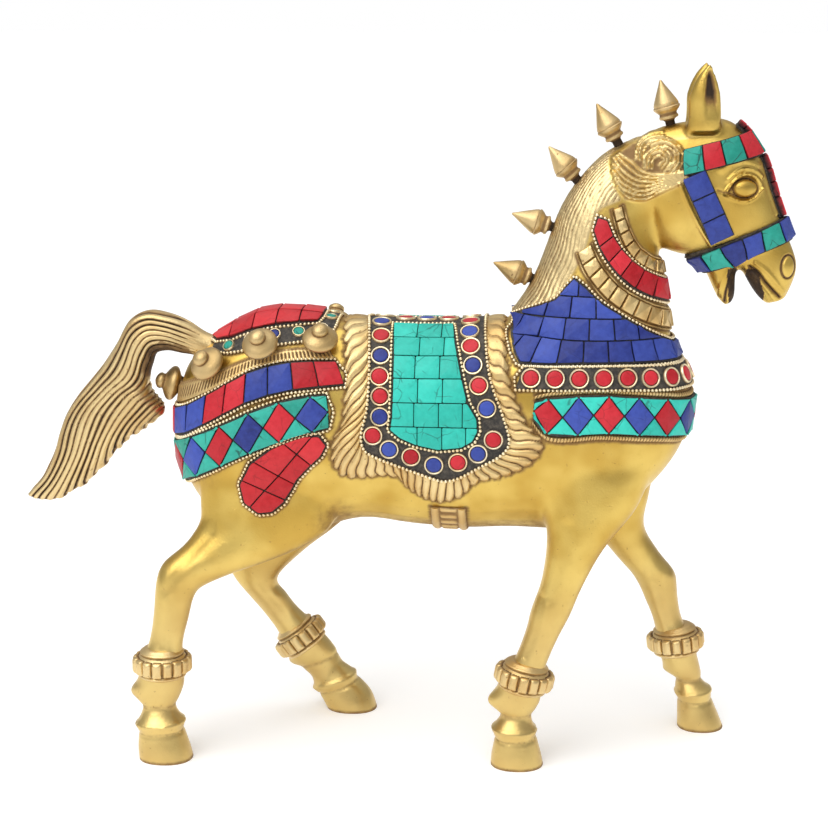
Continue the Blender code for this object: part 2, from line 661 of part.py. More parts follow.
def mirrored_outline(half, across=1):
    """A closed outline from one half, mirrored in its first (0) or second (1) coordinate."""
    other = [(-a, b) if across == 0 else (a, -b) for a, b in reversed(half)
             if abs((a, b)[across]) > 1e-6]
    return list(half) + other


def evenly(points, count):
    """Points at even distances along a smooth open curve, both ends included."""
    rows = catmull_rom(points, 8)
    reach = [0.0]
    for p, q in zip(rows, rows[1:]):
        reach.append(reach[-1] + math.dist(p, q))
    out, k = [], 0
    for i in range(count + 1):
        target = reach[-1] * i / count
        while k < len(reach) - 2 and reach[k + 1] < target:
            k += 1
        t = (target - reach[k]) / (reach[k + 1] - reach[k])
        out.append(tuple(x + (y - x) * t for x, y in zip(rows[k], rows[k + 1])))
    return out


def signed_area(outline):
    """The area inside an outline, negative where it runs clockwise."""
    return sum(p[0] * q[1] - q[0] * p[1] for p, q in zip(outline, outline[1:] + outline[:1])) / 2


def one_way(cell):
    """The same cell with its corners anticlockwise."""
    return cell if signed_area(cell) > 0 else cell[::-1]


def widened(outline, distance):
    """An outline moved outwards by a distance."""
    turn = math.copysign(1.0, signed_area(outline))
    out = []
    for i, p in enumerate(outline):
        before, after = outline[i - 1], outline[(i + 1) % len(outline)]
        along = Vector((after[0] - before[0], after[1] - before[1])).normalized()
        out.append((p[0] + along.y * distance * turn, p[1] - along.x * distance * turn))
    return out


def cut_along(bm, start, direction):
    """Cuts the flat faces of a drawing along a line."""
    normal = Vector((-direction[1], direction[0], 0))
    bmesh.ops.bisect_plane(bm, geom=bm.verts[:] + bm.edges[:] + bm.faces[:], dist=0.01,
                           plane_co=Vector((*start, 0)), plane_no=normal)


def field(outline, rows=(), columns=(), cuts=()):
    """A drawing of stone cells, each a list of its corners: an outline cut by lines."""
    bm = bmesh.new()
    bm.faces.new([bm.verts.new((a, b, 0)) for a, b in outline])
    for b in rows:
        cut_along(bm, (0, b), (1, 0))
    for a in columns:
        cut_along(bm, (a, 0), (0, 1))
    for (a0, b0), (a1, b1) in cuts:
        cut_along(bm, (a0, b0), (a1 - a0, b1 - b0))
    cells = [[corner(v.co.x, v.co.y) for v in f.verts] for f in bm.faces]
    bm.free()
    return cells


def corner(a, b):
    """A corner of a drawing; corners at one place are the same corner."""
    return (round(a, 3), round(b, 3))


def rim(cells):
    """The closed outline round a group of cells."""
    sides = {(p, q) for cell in cells for p, q in zip(cell, cell[1:] + cell[:1])}
    following = {p: q for p, q in sides if (q, p) not in sides}
    out = [min(following)]
    while following[out[-1]] != out[0]:
        out.append(following[out[-1]])
    return out


def drawn_in(cells, distance):
    """The same cells with the outline round them moved inwards by a distance."""
    outline = rim(cells)
    moved = dict(zip(outline, widened(outline, -distance)))
    return [[moved.get(p, p) for p in cell] for cell in cells]


def flipped(cells):
    """The same cells on the other flank."""
    return [[(a, -b) for a, b in cell] for cell in cells]


def zipped(outer, inner):
    """Triangles between two lines of corners that run the same way."""
    cells, i, j = [], 0, 0
    while i < len(outer) - 1 or j < len(inner) - 1:
        if j == len(inner) - 1:
            on_outer = True
        elif i == len(outer) - 1:
            on_outer = False
        else:
            on_outer = math.dist(outer[i + 1], inner[j]) <= math.dist(outer[i], inner[j + 1])
        if on_outer:
            cells.append([outer[i], outer[i + 1], inner[j]])
            i += 1
        else:
            cells.append([outer[i], inner[j + 1], inner[j]])
            j += 1
    return cells


def zipped_ring(outer, inner):
    """Triangles between two closed outlines that run the same way."""
    start = min(range(len(inner)), key=lambda k: math.dist(inner[k], outer[0]))
    inner = inner[start:] + inner[:start]
    return zipped(outer + outer[:1], inner + inner[:1])


def both_ways(stations):
    """A band's stations from one end over the middle to the other end."""
    return [s._replace(a=-s.a) for s in reversed(stations) if s.a > 0] + list(stations)


def band_rows(stations, wrap, count):
    """Upper and lower edge points of a band at count + 1 places, evenly spaced on the skin."""
    fine_rows = catmull_rom(both_ways(stations), 12)
    middles = [wrap.spot(a, (u + l) / 2)[0] for a, u, l in fine_rows]
    reach = [0.0]
    for p, q in zip(middles, middles[1:]):
        reach.append(reach[-1] + (q - p).length)
    out, k = [], 0
    for i in range(count + 1):
        target = reach[-1] * i / count
        while k < len(reach) - 2 and reach[k + 1] < target:
            k += 1
        t = (target - reach[k]) / (reach[k + 1] - reach[k])
        out.append([x + (y - x) * t for x, y in zip(fine_rows[k], fine_rows[k + 1])])
    return out


def tiled_band(stations, wrap, count):
    """A drawing of a row of stones."""
    rows = band_rows(stations, wrap, count)
    return [[corner(a0, u0), corner(a0, l0), corner(a1, l1), corner(a1, u1)]
            for (a0, u0, l0), (a1, u1, l1) in zip(rows, rows[1:])]


def diamond_band(stations, wrap, count):
    """A drawing of a row of diamonds with triangles between them."""
    rows = band_rows(stations, wrap, 2 * count)
    top = [corner(a, u) for a, u, _ in rows]
    foot = [corner(a, l) for a, _, l in rows]
    middle = [corner(a, (u + l) / 2) for a, u, l in rows]
    cells = []
    for i in range(1, 2 * count, 2):
        cells.append([top[i], middle[i - 1], foot[i], middle[i + 1]])
        if i + 2 < 2 * count:
            cells.append([top[i], middle[i + 1], top[i + 2]])
            cells.append([foot[i], foot[i + 2], middle[i + 1]])
    for end, beside in ((0, 1), (2 * count, 2 * count - 1)):
        for line in (top, foot):
            cells.append([line[end], middle[end], line[beside]])
    return [one_way(cell) for cell in cells]


def strip(middle_line, half_width, count):
    """A drawing of a row of stones along a line."""
    points = evenly(middle_line, count)
    rows = []
    for i, p in enumerate(points):
        q, r = points[max(i - 1, 0)], points[min(i + 1, count)]
        along = Vector((r[0] - q[0], r[1] - q[1])).normalized() * half_width
        rows.append((corner(p[0] - along.y, p[1] + along.x), corner(p[0] + along.y, p[1] - along.x)))
    return [[u0, l0, l1, u1] for (u0, l0), (u1, l1) in zip(rows, rows[1:])]


def strap_drawing(strap):
    """A drawing of a strap round the head: across its width, and degrees round the head."""
    angles = [strap.reach * (2 * i / strap.tiles - 1) for i in range(strap.tiles + 1)]
    if strap.reach >= 180:
        angles[-1] = angles[0]
    w = strap.half_width
    return [[(w, p), (-w, p), (-w, q), (w, q)] for p, q in zip(angles, angles[1:])]


def folded(cell, spots, points, outs):
    """Triangles over a cell; a bent four-sided cell is folded so that it stands off the body."""
    flat = [Vector(spots[i]).to_3d() for i in cell]
    if len(cell) == 4 and convex(flat):
        a, b, c, d = cell
        if (points[a] + points[c] - points[b] - points[d]).dot(outs[a]) > 0:
            return [(a, b, c), (a, c, d)]
        return [(a, b, d), (b, c, d)]
    return [tuple(cell[i] for i in triple) for triple in tessellate_polygon([flat])]


def convex(flat):
    """Whether all corners of a flat outline turn the same way."""
    turns = [(q - p).cross(r - q).z for p, q, r in zip(flat, flat[1:] + flat[:1],
                                                       flat[2:] + flat[:2])]
    return min(turns) > 0 or max(turns) < 0


def bedded(triangles, points, outs, ground):
    """The lower corners of a slab, lifted until all of its underside clears the ground."""
    points = [p + n * (ground.height(p, n) + SEAT_GAP) for p, n in zip(points, outs)]
    for _ in range(BEDDING_ROUNDS):
        lift = [0.0] * len(points)
        for i, j, k in triangles:
            out = (outs[i] + outs[j] + outs[k]).normalized()
            for u in range(PROBES + 1):
                for v in range(PROBES + 1 - u):
                    shares = ((i, u), (j, v), (k, PROBES - u - v))
                    spot = sum((points[c] * share for c, share in shares), Vector()) / PROBES
                    short = ground.height(spot, out) + SEAT_GAP
                    for c, share in shares:
                        if share:
                            lift[c] = max(lift[c], short)
        points = [p + n * rise for p, n, rise in zip(points, outs, lift)]
    return points


def laid_on(name, cells, wrap, top, ground=None, rise=STONE_RISE, raised=None):
    """A slab that follows the skin; its raised cells are bevelled stones.

    Its upper face lies at a height over the skin. With a ground it is bedded on that, and without
    one it reaches into the body, for its seat to be cut.
    """
    spots = list(dict.fromkeys(p for cell in cells for p in cell))
    index = {p: i for i, p in enumerate(spots)}
    cells = [[index[p] for p in cell] for cell in cells]
    places, outs = zip(*[wrap.spot(a, b) for a, b in spots])
    triangles = [t for cell in cells for t in folded(cell, spots, places, outs)]
    if ground:
        feet = bedded(triangles, places, outs, ground)
    else:
        feet = [p - n * SINK for p, n in zip(places, outs)]
    bm = bmesh.new()
    lower = [bm.verts.new(p * MM) for p in feet]
    upper = [bm.verts.new((p + n * max(top, (q - p).dot(n) + THINNEST)) * MM)
             for p, q, n in zip(places, feet, outs)]
    tops = [bm.faces.new([upper[i] for i in cell]) for cell in cells]
    sides = {(p, q) for cell in cells for p, q in zip(cell, cell[1:] + cell[:1])}
    for triangle in triangles:
        bm.faces.new([lower[i] for i in reversed(triangle)])
    for p, q in sorted(sides):
        if (q, p) not in sides:
            bm.faces.new((upper[q], upper[p], lower[p], lower[q]))
    bmesh.ops.recalc_face_normals(bm, faces=bm.faces[:])
    stones = tops if raised is None else [tops[i] for i in raised]
    if rise:
        bmesh.ops.inset_individual(bm, faces=stones, thickness=STONE_BEVEL * MM,
                                   depth=rise * MM, use_even_offset=True)
    bmesh.ops.triangulate(bm, faces=bm.faces[:])
    mesh = bpy.data.meshes.new(name)
    bm.to_mesh(mesh)
    bm.free()
    return link(name, mesh)


def add_collets(bed, wrap, places, radius):
    """Joins a metal ring for each round stone to a bed."""
    surface = Skin(bed.data)
    profile = [(-COLLET_ROOT, radius), (COLLET_RISE, radius * 0.9)]
    rings = []
    for a, b in places:
        place, out = wrap.spot(a, b)
        place, normal = surface.hit(place + out * PROBE, -out)
        rings.append(lathe("ring", profile, place, normal, sides=COLLET_SIDES))
    boolean(bed, link("rings", join_meshes("rings", rings)), "UNION")


def castings(body):
    """The trunk, neck, head, tail and legs; the legs carry their anklets."""
    upper = part_at_plane(body, (0, 0, LEG_JOINT_HEIGHT), (0, 0, 1), True)
    out = {}
    (nx, nz), (ndx, ndz) = NECK_JOINT
    out["trunk"] = part_at_plane(upper, (nx, 0, nz), (ndx, 0, ndz), False)
    above = part_at_plane(upper, (nx, 0, nz), (ndx, 0, ndz), True)
    (hx, hz), (hdx, hdz) = HEAD_JOINT
    out["neck"] = part_at_plane(above, (hx, 0, hz), (hdx, 0, hdz), False)
    out["head"] = part_at_plane(above, (hx, 0, hz), (hdx, 0, hdz), True)
    out.update(lower_parts(body))
    pieces = {name: link(name, mesh) for name, mesh in out.items()}
    for name, anklet in ANKLETS.items():
        lean = math.radians(anklet.lean)
        profile = [(height, share * ANKLET_RADIUS) for height, share in ANKLET_PROFILE]
        ring = lathe("ring", profile, anklet.middle, (-math.sin(lean), 0, math.cos(lean)),
                     sides=ANKLET_SIDES)
        boolean(pieces[name], ring, "UNION")
    return pieces


def tail_casting(body):
    """The arched tail with its ridges of hair, cut to the croup where it is brazed on."""
    strand_points = 4 * TAIL_STRANDS

    def ridge(k, station, stations):
        """Hair ridges that grow out of the smooth dock."""
        return STRAND_RELIEF * (-1) ** k * min(1.0, station / (0.2 * stations))

    tail = loft("tail", TAIL, around=strand_points, steps=1, relief=ridge)
    seat(tail, body)
    return tail


def saddlery(skin, body):
    """The blanket with its fringe, the girth strap, the two turquoise fields and their border."""
    saddle = Rolled(skin, (0, 0, TRUNK_AXIS_Z), (1, 0, 0), (0, 0, 1), ROLL)
    edge = [corner(a, b) for a, b in evenly(BLANKET_EDGE, FRINGE_PLEATS)]
    bead_line = [corner(a, b) for a, b in evenly(BORDER_EDGE, FRINGE_PLEATS)]
    fringe = [[p, q, s, r] for p, q, r, s in zip(edge, edge[1:], bead_line, bead_line[1:])]
    stones = field(SADDLE_FIELD, SADDLE_ROWS, SADDLE_COLUMNS)
    rear, front = bead_line[0][0], bead_line[-1][0]
    ridge = [corner(front + (rear - front) * k / RIDGE_STOPS, 0) for k in range(1, RIDGE_STOPS)]
    outline = rim(stones)
    if signed_area(outline) * signed_area(bead_line + ridge) < 0:
        outline.reverse()
    border = zipped_ring(bead_line + ridge, outline)
    cells = [one_way(cell) for cell in fringe + border + stones]
    cells += [one_way(cell) for cell in flipped(fringe + border + stones)]
    count = len(fringe + border + stones)
    pleats = [*range(len(fringe)), *range(count, count + len(fringe))]
    ground = Skin(body)
    blanket = laid_on("saddle_blanket", cells, saddle, BLANKET_THICKNESS, ground,
                      rise=FRINGE_RELIEF, raised=pleats)

    cloth = Skin(blanket.data)
    inset = drawn_in([one_way(cell) for cell in stones], FIELD_CLEARANCE)
    for side_name, cells in (("right", inset), ("left", flipped(inset))):
        laid_on("saddle_turquoise_" + side_name, [one_way(cell) for cell in cells], saddle,
                SADDLE_BED_HEIGHT, cloth)
    bed = laid_on("saddle_ring_border", [one_way(cell) for cell in border + flipped(border)],
                  saddle, SADDLE_BED_HEIGHT, cloth, rise=0)
    add_collets(bed, saddle, SADDLE_RINGS + [(a, -b) for a, b in SADDLE_RINGS] + SPINE_RINGS,
                COLLET_RADIUS)

    rear, front = GIRTH_STRAP
    start = max(b for _, b in BLANKET_EDGE) + GIRTH_CLEARANCE
    middle_line = [((rear + front) / 2, b) for b in (start, 2 * math.pi * ROLL - start)]
    laid_on("girth_strap", strip(middle_line, (front - rear) / 2, GIRTH_LINKS), saddle,
            BLANKET_THICKNESS, ground, rise=FRINGE_RELIEF)


def chest_fields(skin, body):
    """The lapis field round the chest, the row of round stones and the row of diamonds."""
    chest = Rolled(skin, (CHEST_AXIS_X, 0, 0), (0, 0, 1), (1, 0, 0), ROLL, upright=True)
    ground = Skin(body)
    outline = mirrored_outline(LAPIS_UPPER + LAPIS_LOWER[::-1], 0)
    course = [Station(a, LAPIS_COURSE_Z, LAPIS_COURSE_Z) for a, _ in LAPIS_LOWER]
    columns = [row[0] for row in band_rows(course, chest, LAPIS_COLUMNS)][1:-1]
    laid_on("chest_lapis_field", field(outline, LAPIS_ROWS, columns), chest, BED_HEIGHT, ground)
    bed = laid_on("chest_ring_band", tiled_band(CHEST_RING_BAND, chest, CHEST_RINGS), chest,
                  BED_HEIGHT, ground, rise=0)
    rows = band_rows(CHEST_RING_BAND, chest, 2 * CHEST_RINGS)[1::2]
    add_collets(bed, chest, [(a, (u + l) / 2) for a, u, l in rows], COLLET_RADIUS)
    laid_on("chest_diamond_band", diamond_band(CHEST_DIAMOND_BAND, chest, CHEST_DIAMONDS), chest,
            BED_HEIGHT, ground)


def collars(skin, body):
    """The coral collar and the two collars of brass squares, round the throat."""
    neck = Rolled(skin, (NECK_AXIS_X, 0, 0), (0, 0, 1), (1, 0, 0), NECK_ROLL, upright=True)
    ground = Skin(body)
    for name, collar in COLLARS.items():
        line = [(-a, z) for a, z in reversed(collar.line[1:])] + collar.line
        laid_on(name, strip(line, collar.half_width, collar.squares), neck, collar.height, ground,
                rise=collar.rise)


def croup_fields(skin, body):
    """The coral crest on the croup, its border of stones, and the bands round the breech."""
    croup = Rolled(skin, (0, 0, TRUNK_AXIS_Z), (1, 0, 0), (0, 0, 1), ROLL)
    breech = Rolled(skin, (BREECH_AXIS_X, 0, 0), (0, 0, 1), (-1, 0, 0), ROLL, upright=True)
    ground = Skin(body)
    crest = mirrored_outline(CREST_FIELD)
    laid_on("croup_coral_crest", field(crest, CREST_ROWS, CREST_COLUMNS), croup, BED_HEIGHT,
            ground)
    outer = mirrored_outline(CREST_BORDER)
    inner = [p for p in widened(crest, FIELD_CLEARANCE) if p[0] > outer[0][0]]
    border = laid_on("croup_ring_border", [one_way(cell) for cell in zipped(outer, inner)], croup,
                     BED_HEIGHT, ground, rise=0)
    add_collets(border, croup, CREST_RINGS + [(a, -b) for a, b in CREST_RINGS],
                CREST_RING_RADIUS)
    carved = laid_on("croup_carved_band",
                     tiled_band(BREECH_CARVED_BAND, breech, CARVED_BAND_LINKS), breech,
                     CARVED_BAND_HEIGHT, ground, rise=0)
    laid_on("breech_tile_band", tiled_band(BREECH_TILE_BAND, breech, BREECH_TILES), breech,
            BED_HEIGHT, ground)
    laid_on("breech_diamond_band", diamond_band(BREECH_DIAMOND_BAND, breech, BREECH_DIAMONDS),
            breech, BED_HEIGHT, ground)
    for side_name, sign in (("right", -1), ("left", 1)):
        laid_on("thigh_lobe_" + side_name, field(THIGH_LOBE, cuts=THIGH_LOBE_CUTS),
                FromSide(skin, sign), BED_HEIGHT, ground)
    place, normal = breech.spot(0, REAR_KNOB_Z)
    spots = [("knob_rear", place, normal)]
    for k, (a, b) in enumerate(KNOB_ROW, start=1):
        for side_name, sign in (("right", 1), ("left", -1)):
            spots.append((f"knob_{side_name}_{k}", *croup.spot(a, sign * b)))
    for name, place, normal in spots:
        seat(lathe(name, KNOB_PROFILE, place, normal), body, carved.data, border.data)


def halter(skin, body):
    """The stone-set halter: noseband, browband, cheekpieces and the strip on the nose."""
    degrees = 180 / math.pi
    bands = []
    for name, strap in (("noseband", NOSEBAND), ("browband", BROWBAND)):
        slope = math.radians(strap.slope)
        wrap = Rolled(skin, (strap.middle[0], 0, strap.middle[1]),
                      (-math.sin(slope), 0, math.cos(slope)),
                      (math.cos(slope), 0, math.sin(slope)), degrees, start=STRAP_START)
        bands.append(laid_on(name, strap_drawing(strap), wrap, STRAP_HEIGHT))
        seat(bands[-1], body)
    for side_name, sign in (("right", -1), ("left", 1)):
        cells = strip(CHEEKPIECE, CHEEKPIECE_HALF_WIDTH, CHEEKPIECE_TILES)
        cheek = laid_on("cheekpiece_" + side_name, cells, FromSide(skin, sign), CHEEKPIECE_HEIGHT)
        seat(cheek, body, *[band.data for band in bands])
    face = Rolled(skin, (FACE_AXIS[0], 0, FACE_AXIS[1]), (0, -1, 0), (1, 0, 0), degrees)
    for name, (upper, lower, count) in FACE_STRIPS.items():
        cells = strip([(0, upper), (0, (upper + lower) / 2), (0, lower)], FACE_STRIP_HALF_WIDTH,
                      count)
        seat(laid_on(name, cells, face, FACE_STRIP_HEIGHT), body, *[band.data for band in bands])


def mane_spikes(body):
    """The five turned spikes on the crest of the neck."""
    for k, (root, tip) in enumerate(SPIKES, start=1):
        direction = (tip[0] - root[0], 0, tip[1] - root[1])
        spike = lathe(f"mane_spike_{k}", SPIKE_PROFILE, (root[0], 0, root[1]), direction)
        seat(spike, body)


def finish(obj, stand):
    """Gives a piece its own material and hangs it on the empty that places the statue."""
    colour, roughness, metallic = next((look for start, look in FINISHES
                                        if obj.name.startswith(start)), CAST_BRASS)
    material = bpy.data.materials.new(obj.name + "_finish")
    material.use_nodes = True
    surface = material.node_tree.nodes["Principled BSDF"]
    surface.inputs["Base Color"].default_value = (*colour, 1.0)
    surface.inputs["Roughness"].default_value = roughness
    surface.inputs["Metallic"].default_value = metallic
    mesh = obj.data
    mesh.name = obj.name
    mesh.materials.clear()
    mesh.materials.append(material)
    mesh.shade_smooth()
    mesh.set_sharp_from_angle(angle=math.radians(SMOOTH_UNDER))
    obj.parent = stand


def main():
    for obj in list(bpy.data.objects):
        bpy.data.objects.remove(obj)
    fine = blended_body()
    skin = Skin(fine)
    body = part_at_plane(thinned(fine, CAST_DETAIL_SHARE), (0, 0, GROUND_Z), (0, 0, 1), True, 0)
    castings(body)
    tail_casting(body)
    saddlery(skin, body)
    chest_fields(skin, body)
    collars(skin, body)
    croup_fields(skin, body)
    halter(skin, body)
    mane_spikes(body)
    pieces = list(bpy.data.objects)
    stand = link("brass_horse_statue", None)
    stand.location = Vector((*STANCE_MIDDLE, GROUND_Z)) * -MM
    for obj in pieces:
        finish(obj, stand)


main()
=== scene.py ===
"""Dresses the brass horse statue: castings, carving, stones, beads and the studio it stands in.

Everything is modelled in millimetres in the frame that the slices were drawn in, and is settled
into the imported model's frame, in metres, when it is finished. The horse faces +X, its right side
faces -Y, and it stands on z = 0.
"""

from __future__ import annotations

import logging
import math
import random
from collections.abc import Callable, Iterable, Iterator, Sequence
from contextlib import contextmanager
from dataclasses import dataclass, field
from enum import Enum

import bmesh
import bpy
import numpy as np
from mathutils import Matrix, Vector
from mathutils.bvhtree import BVHTree
from mathutils.kdtree import KDTree

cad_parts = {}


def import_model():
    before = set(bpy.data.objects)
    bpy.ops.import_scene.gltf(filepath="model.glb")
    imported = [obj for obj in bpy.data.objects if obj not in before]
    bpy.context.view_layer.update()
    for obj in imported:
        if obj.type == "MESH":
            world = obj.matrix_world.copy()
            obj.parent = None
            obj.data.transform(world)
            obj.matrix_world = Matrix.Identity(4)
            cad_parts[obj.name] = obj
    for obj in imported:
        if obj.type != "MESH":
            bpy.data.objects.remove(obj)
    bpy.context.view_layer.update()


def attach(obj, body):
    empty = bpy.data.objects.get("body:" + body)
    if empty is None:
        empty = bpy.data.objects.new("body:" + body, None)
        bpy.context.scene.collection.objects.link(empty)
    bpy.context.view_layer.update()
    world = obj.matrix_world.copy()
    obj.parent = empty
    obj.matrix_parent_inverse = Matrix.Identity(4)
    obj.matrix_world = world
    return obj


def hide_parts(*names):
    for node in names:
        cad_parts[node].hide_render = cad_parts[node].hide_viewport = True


log = logging.getLogger("brass_horse")

MM = 0.001
STANCE_X, STANCE_Y, GROUND_Z = -6.8, 1.87, 3.5      # where the model's origin was drawn
SETTLE = Matrix.Scale(MM, 4) @ Matrix.Translation((-STANCE_X, -STANCE_Y, -GROUND_Z))

Pair = tuple[float, float]
Path = tuple[Pair, ...]
Line = list[Pair]
Cell = list[Pair]
Triple = tuple[float, float, float]
Rgb = Triple
Touch = Triple      # height over the skin, brown, shift past the edge
Stations = tuple[Triple, ...]      # a band's (a, upper, lower) at some places
Pattern = tuple[np.ndarray, list[list[int]]]      # points and faces


class Colour(Enum):
    """The stones' colours."""

    CORAL = "coral"
    PINK = "pink_coral"
    LAPIS = "lapis"
    TURQUOISE = "turquoise"
    TEAL = "teal"


class Flank(Enum):
    """The two sides of the horse, as signs of y."""

    RIGHT = -1
    LEFT = 1


# Shader maths.

class Signal:
    """A shader value that takes part in Python arithmetic; each operator adds a Math node."""

    def __init__(self, recipe: Recipe, socket: bpy.types.NodeSocket) -> None:
        """Keeps the socket and the recipe it belongs to."""
        self.recipe, self.socket = recipe, socket

    def _math(self, operation: str, *values: object) -> Signal:
        """Adds one Math node.

        Args:
            operation: the node's operation.
            values: its inputs, numbers or signals.

        Returns:
            The node's result.
        """
        node = self.recipe.node("ShaderNodeMath", {"operation": operation},
                                dict(enumerate(values)))
        return Signal(self.recipe, node.outputs[0])

    def __add__(self, other: object) -> Signal:
        """This plus the other."""
        return self._math("ADD", self, other)

    def __radd__(self, other: object) -> Signal:
        """The other plus this."""
        return self._math("ADD", other, self)

    def __sub__(self, other: object) -> Signal:
        """This less the other."""
        return self._math("SUBTRACT", self, other)

    def __rsub__(self, other: object) -> Signal:
        """The other less this."""
        return self._math("SUBTRACT", other, self)

    def __mul__(self, other: object) -> Signal:
        """This times the other."""
        return self._math("MULTIPLY", self, other)

    def __rmul__(self, other: object) -> Signal:
        """The other times this."""
        return self._math("MULTIPLY", other, self)

    def clamped(self) -> Signal:
        """This, held between 0 and 1."""
        return self._math("MINIMUM", self._math("MAXIMUM", self, 0.0), 1.0)

    def rising(self, low: float, high: float) -> Signal:
        """A soft step: 0 below low, 1 above high."""
        node = self.recipe.node("ShaderNodeMapRange", {"interpolation_type": "SMOOTHSTEP"},
                                {"Value": self, "From Min": low, "From Max": high})
        return Signal(self.recipe, node.outputs[0])


class Graph:
    """A node tree in the making."""

    def __init__(self, tree: bpy.types.NodeTree) -> None:
        """Keeps the tree."""
        self.tree = tree

    def node(self, kind: str, settings: dict | None = None,
             sockets: dict | None = None) -> bpy.types.Node:
        """Adds a node.

        Args:
            kind: the node's type.
            settings: its own settings, set before its sockets.
            sockets: values or links for its inputs, by name or number.

        Returns:
            The node.
        """
        node = self.tree.nodes.new(kind)
        for key, value in (settings or {}).items():
            setattr(node, key, value)
        for key, value in (sockets or {}).items():
            self.plug(node.inputs[key], value)
        return node

    def plug(self, target: bpy.types.NodeSocket, value: object) -> None:
        """Sets a socket's value, or links it to a signal or another socket.

        Args:
            target: the socket.
            value: a number, colour, signal or socket.
        """
        if isinstance(value, Signal):
            value = value.socket
        if isinstance(value, bpy.types.NodeSocket):
            self.tree.links.new(value, target)
        else:
            target.default_value = value


class Recipe(Graph):
    """A node material in the making."""

    def __init__(self, name: str) -> None:
        """Starts an empty node material with a surface shader.

        Args:
            name: the material's name.
        """
        self.material = bpy.data.materials.new(name)
        self.material.use_nodes = True
        super().__init__(self.material.node_tree)
        self.surface = self.tree.nodes["Principled BSDF"]
        self.place = self.node("ShaderNodeTexCoord").outputs["Object"]

    def paint(self, name: str) -> Signal:
        """A value that was painted on the mesh."""
        node = self.node("ShaderNodeAttribute", {"attribute_name": name})
        return Signal(self, node.outputs["Fac"])

    def cloud(self, per_metre: float, detail: float = 3.0, rough: float = 0.55,
              stretch: Sequence[float] = (1, 1, 1)) -> Signal:
        """Soft noise.

        Args:
            per_metre: how many swells there are to a metre.
            detail: its octaves.
            rough: how strong the finer ones are.
            stretch: the scale along each axis.

        Returns:
            A value round one half.
        """
        place = self.node("ShaderNodeMapping", {}, {"Vector": self.place, "Scale": stretch})
        node = self.node("ShaderNodeTexNoise", {}, {"Vector": place.outputs[0],
                                                    "Scale": per_metre, "Detail": detail,
                                                    "Roughness": rough})
        return Signal(self, node.outputs[0])

    def cracks(self, per_metre: float, warp: float = 0.0015) -> Signal:
        """The distance to the nearest edge of broken cells, in cells, along wavering lines.

        Args:
            per_metre: how many cells there are to a metre.
            warp: how far the lines waver, in metres.

        Returns:
            A value, 0 on the edges.
        """
        waver = self.node("ShaderNodeTexNoise", {}, {"Vector": self.place, "Scale": 260.0})
        swing = self.node("ShaderNodeVectorMath", {"operation": "SCALE"},
                          {0: waver.outputs["Color"], "Scale": warp})
        place = self.node("ShaderNodeVectorMath", {"operation": "ADD"},
                          {0: self.place, 1: swing.outputs[0]})
        node = self.node("ShaderNodeTexVoronoi", {"feature": "DISTANCE_TO_EDGE"},
                         {"Vector": place.outputs[0], "Scale": per_metre})
        return Signal(self, node.outputs[0])

    def blend(self, one: object, other: object, share: object) -> bpy.types.NodeSocket:
        """A colour between two colours.

        Args:
            one: the colour at share 0.
            other: the colour at share 1.
            share: how far it is from the one to the other.

        Returns:
            The mixed colour's socket.
        """
        def full(colour: object) -> object:
            """A colour with its fourth number."""
            return (*colour, 1.0) if isinstance(colour, tuple) and len(colour) == 3 else colour
        node = self.node("ShaderNodeMix", {"data_type": "RGBA"},
                         {0: share, 6: full(one), 7: full(other)})
        return node.outputs[2]

    def relief(self, height: Signal, distance: float, strength: float = 1.0) -> None:
        """Gives the surface a bump from a height value, in metres at full height."""
        bump = self.node("ShaderNodeBump", {}, {"Height": height, "Distance": distance,
                                                "Strength": strength})
        self.plug(self.surface.inputs["Normal"], bump.outputs[0])

    def finish(self, **sockets: object) -> bpy.types.Material:
        """Sets the surface's sockets, by name with _ for a space, and hands over the material."""
        for key, value in sockets.items():
            self.plug(self.surface.inputs[key.replace("_", " ")], value)
        return self.material


@dataclass(frozen=True)
class BrassFinish:
    """Brass, bright where it is rubbed and brown where polish does not reach or where shade is
    painted on.
    """

    name: str
    bright: Rgb
    warm: Rgb
    russet: Rgb = (0.21, 0.105, 0.032)
    brown: Rgb = (0.035, 0.018, 0.008)
    combed: Rgb = (0.76, 0.60, 0.33)
    roughness: float = 0.36
    grain: float = 0.00012
    pits: float = 0.5
    stains: float = 0.0

    def build(self) -> bpy.types.Material:
        """The material: warm and bright clouds, brown patina and painted shade, casting grain and
        pits.
        """
        mix = Recipe(self.name)
        hollow, pale = mix.paint("hollow"), mix.paint("pale")
        broad, mottled = mix.cloud(38.0, 2.0), mix.cloud(240.0, 4.0, 0.65)
        fine = mix.cloud(900.0, 4.0, 0.6)
        # The painted hollows hold brown patina and painted shade alike.
        patina_and_shade = hollow + (mottled - 0.5) * 0.5 * hollow.rising(0.02, 0.35)
        patina_and_shade_share, deep = patina_and_shade.rising(0.1, 0.6), patina_and_shade.rising(0.55, 1.0)
        stains = mix.cloud(17.0, 6.0, 0.68, (1, 1, 0.55)).rising(0.54, 0.76) * self.stains
        pit = (1.0 - mix.cloud(520.0, 2.0, 0.4).rising(0.22, 0.32)) * self.pits
        dark = (patina_and_shade_share + pit * mottled.rising(0.4, 0.6)).clamped()
        metal = mix.blend(self.warm, self.bright, broad.rising(0.3, 0.7))
        metal = mix.blend(metal, self.warm, (mottled.rising(0.52, 0.8) * 0.35).clamped())
        metal = mix.blend(metal, self.russet, stains)
        metal = mix.blend(metal, self.combed, pale)
        mix.relief(fine * 0.7 + mottled * 0.6 - pit * 1.2, self.grain)
        browned_and_shaded = mix.blend(metal, self.russet, (dark * 0.9).clamped())
        rough = self.roughness + dark * 0.35 + (mottled - 0.5) * 0.16
        return mix.finish(Base_Color=mix.blend(browned_and_shaded, self.brown, deep),
                          Metallic=1.0 - dark * 0.7, Roughness=rough.clamped())


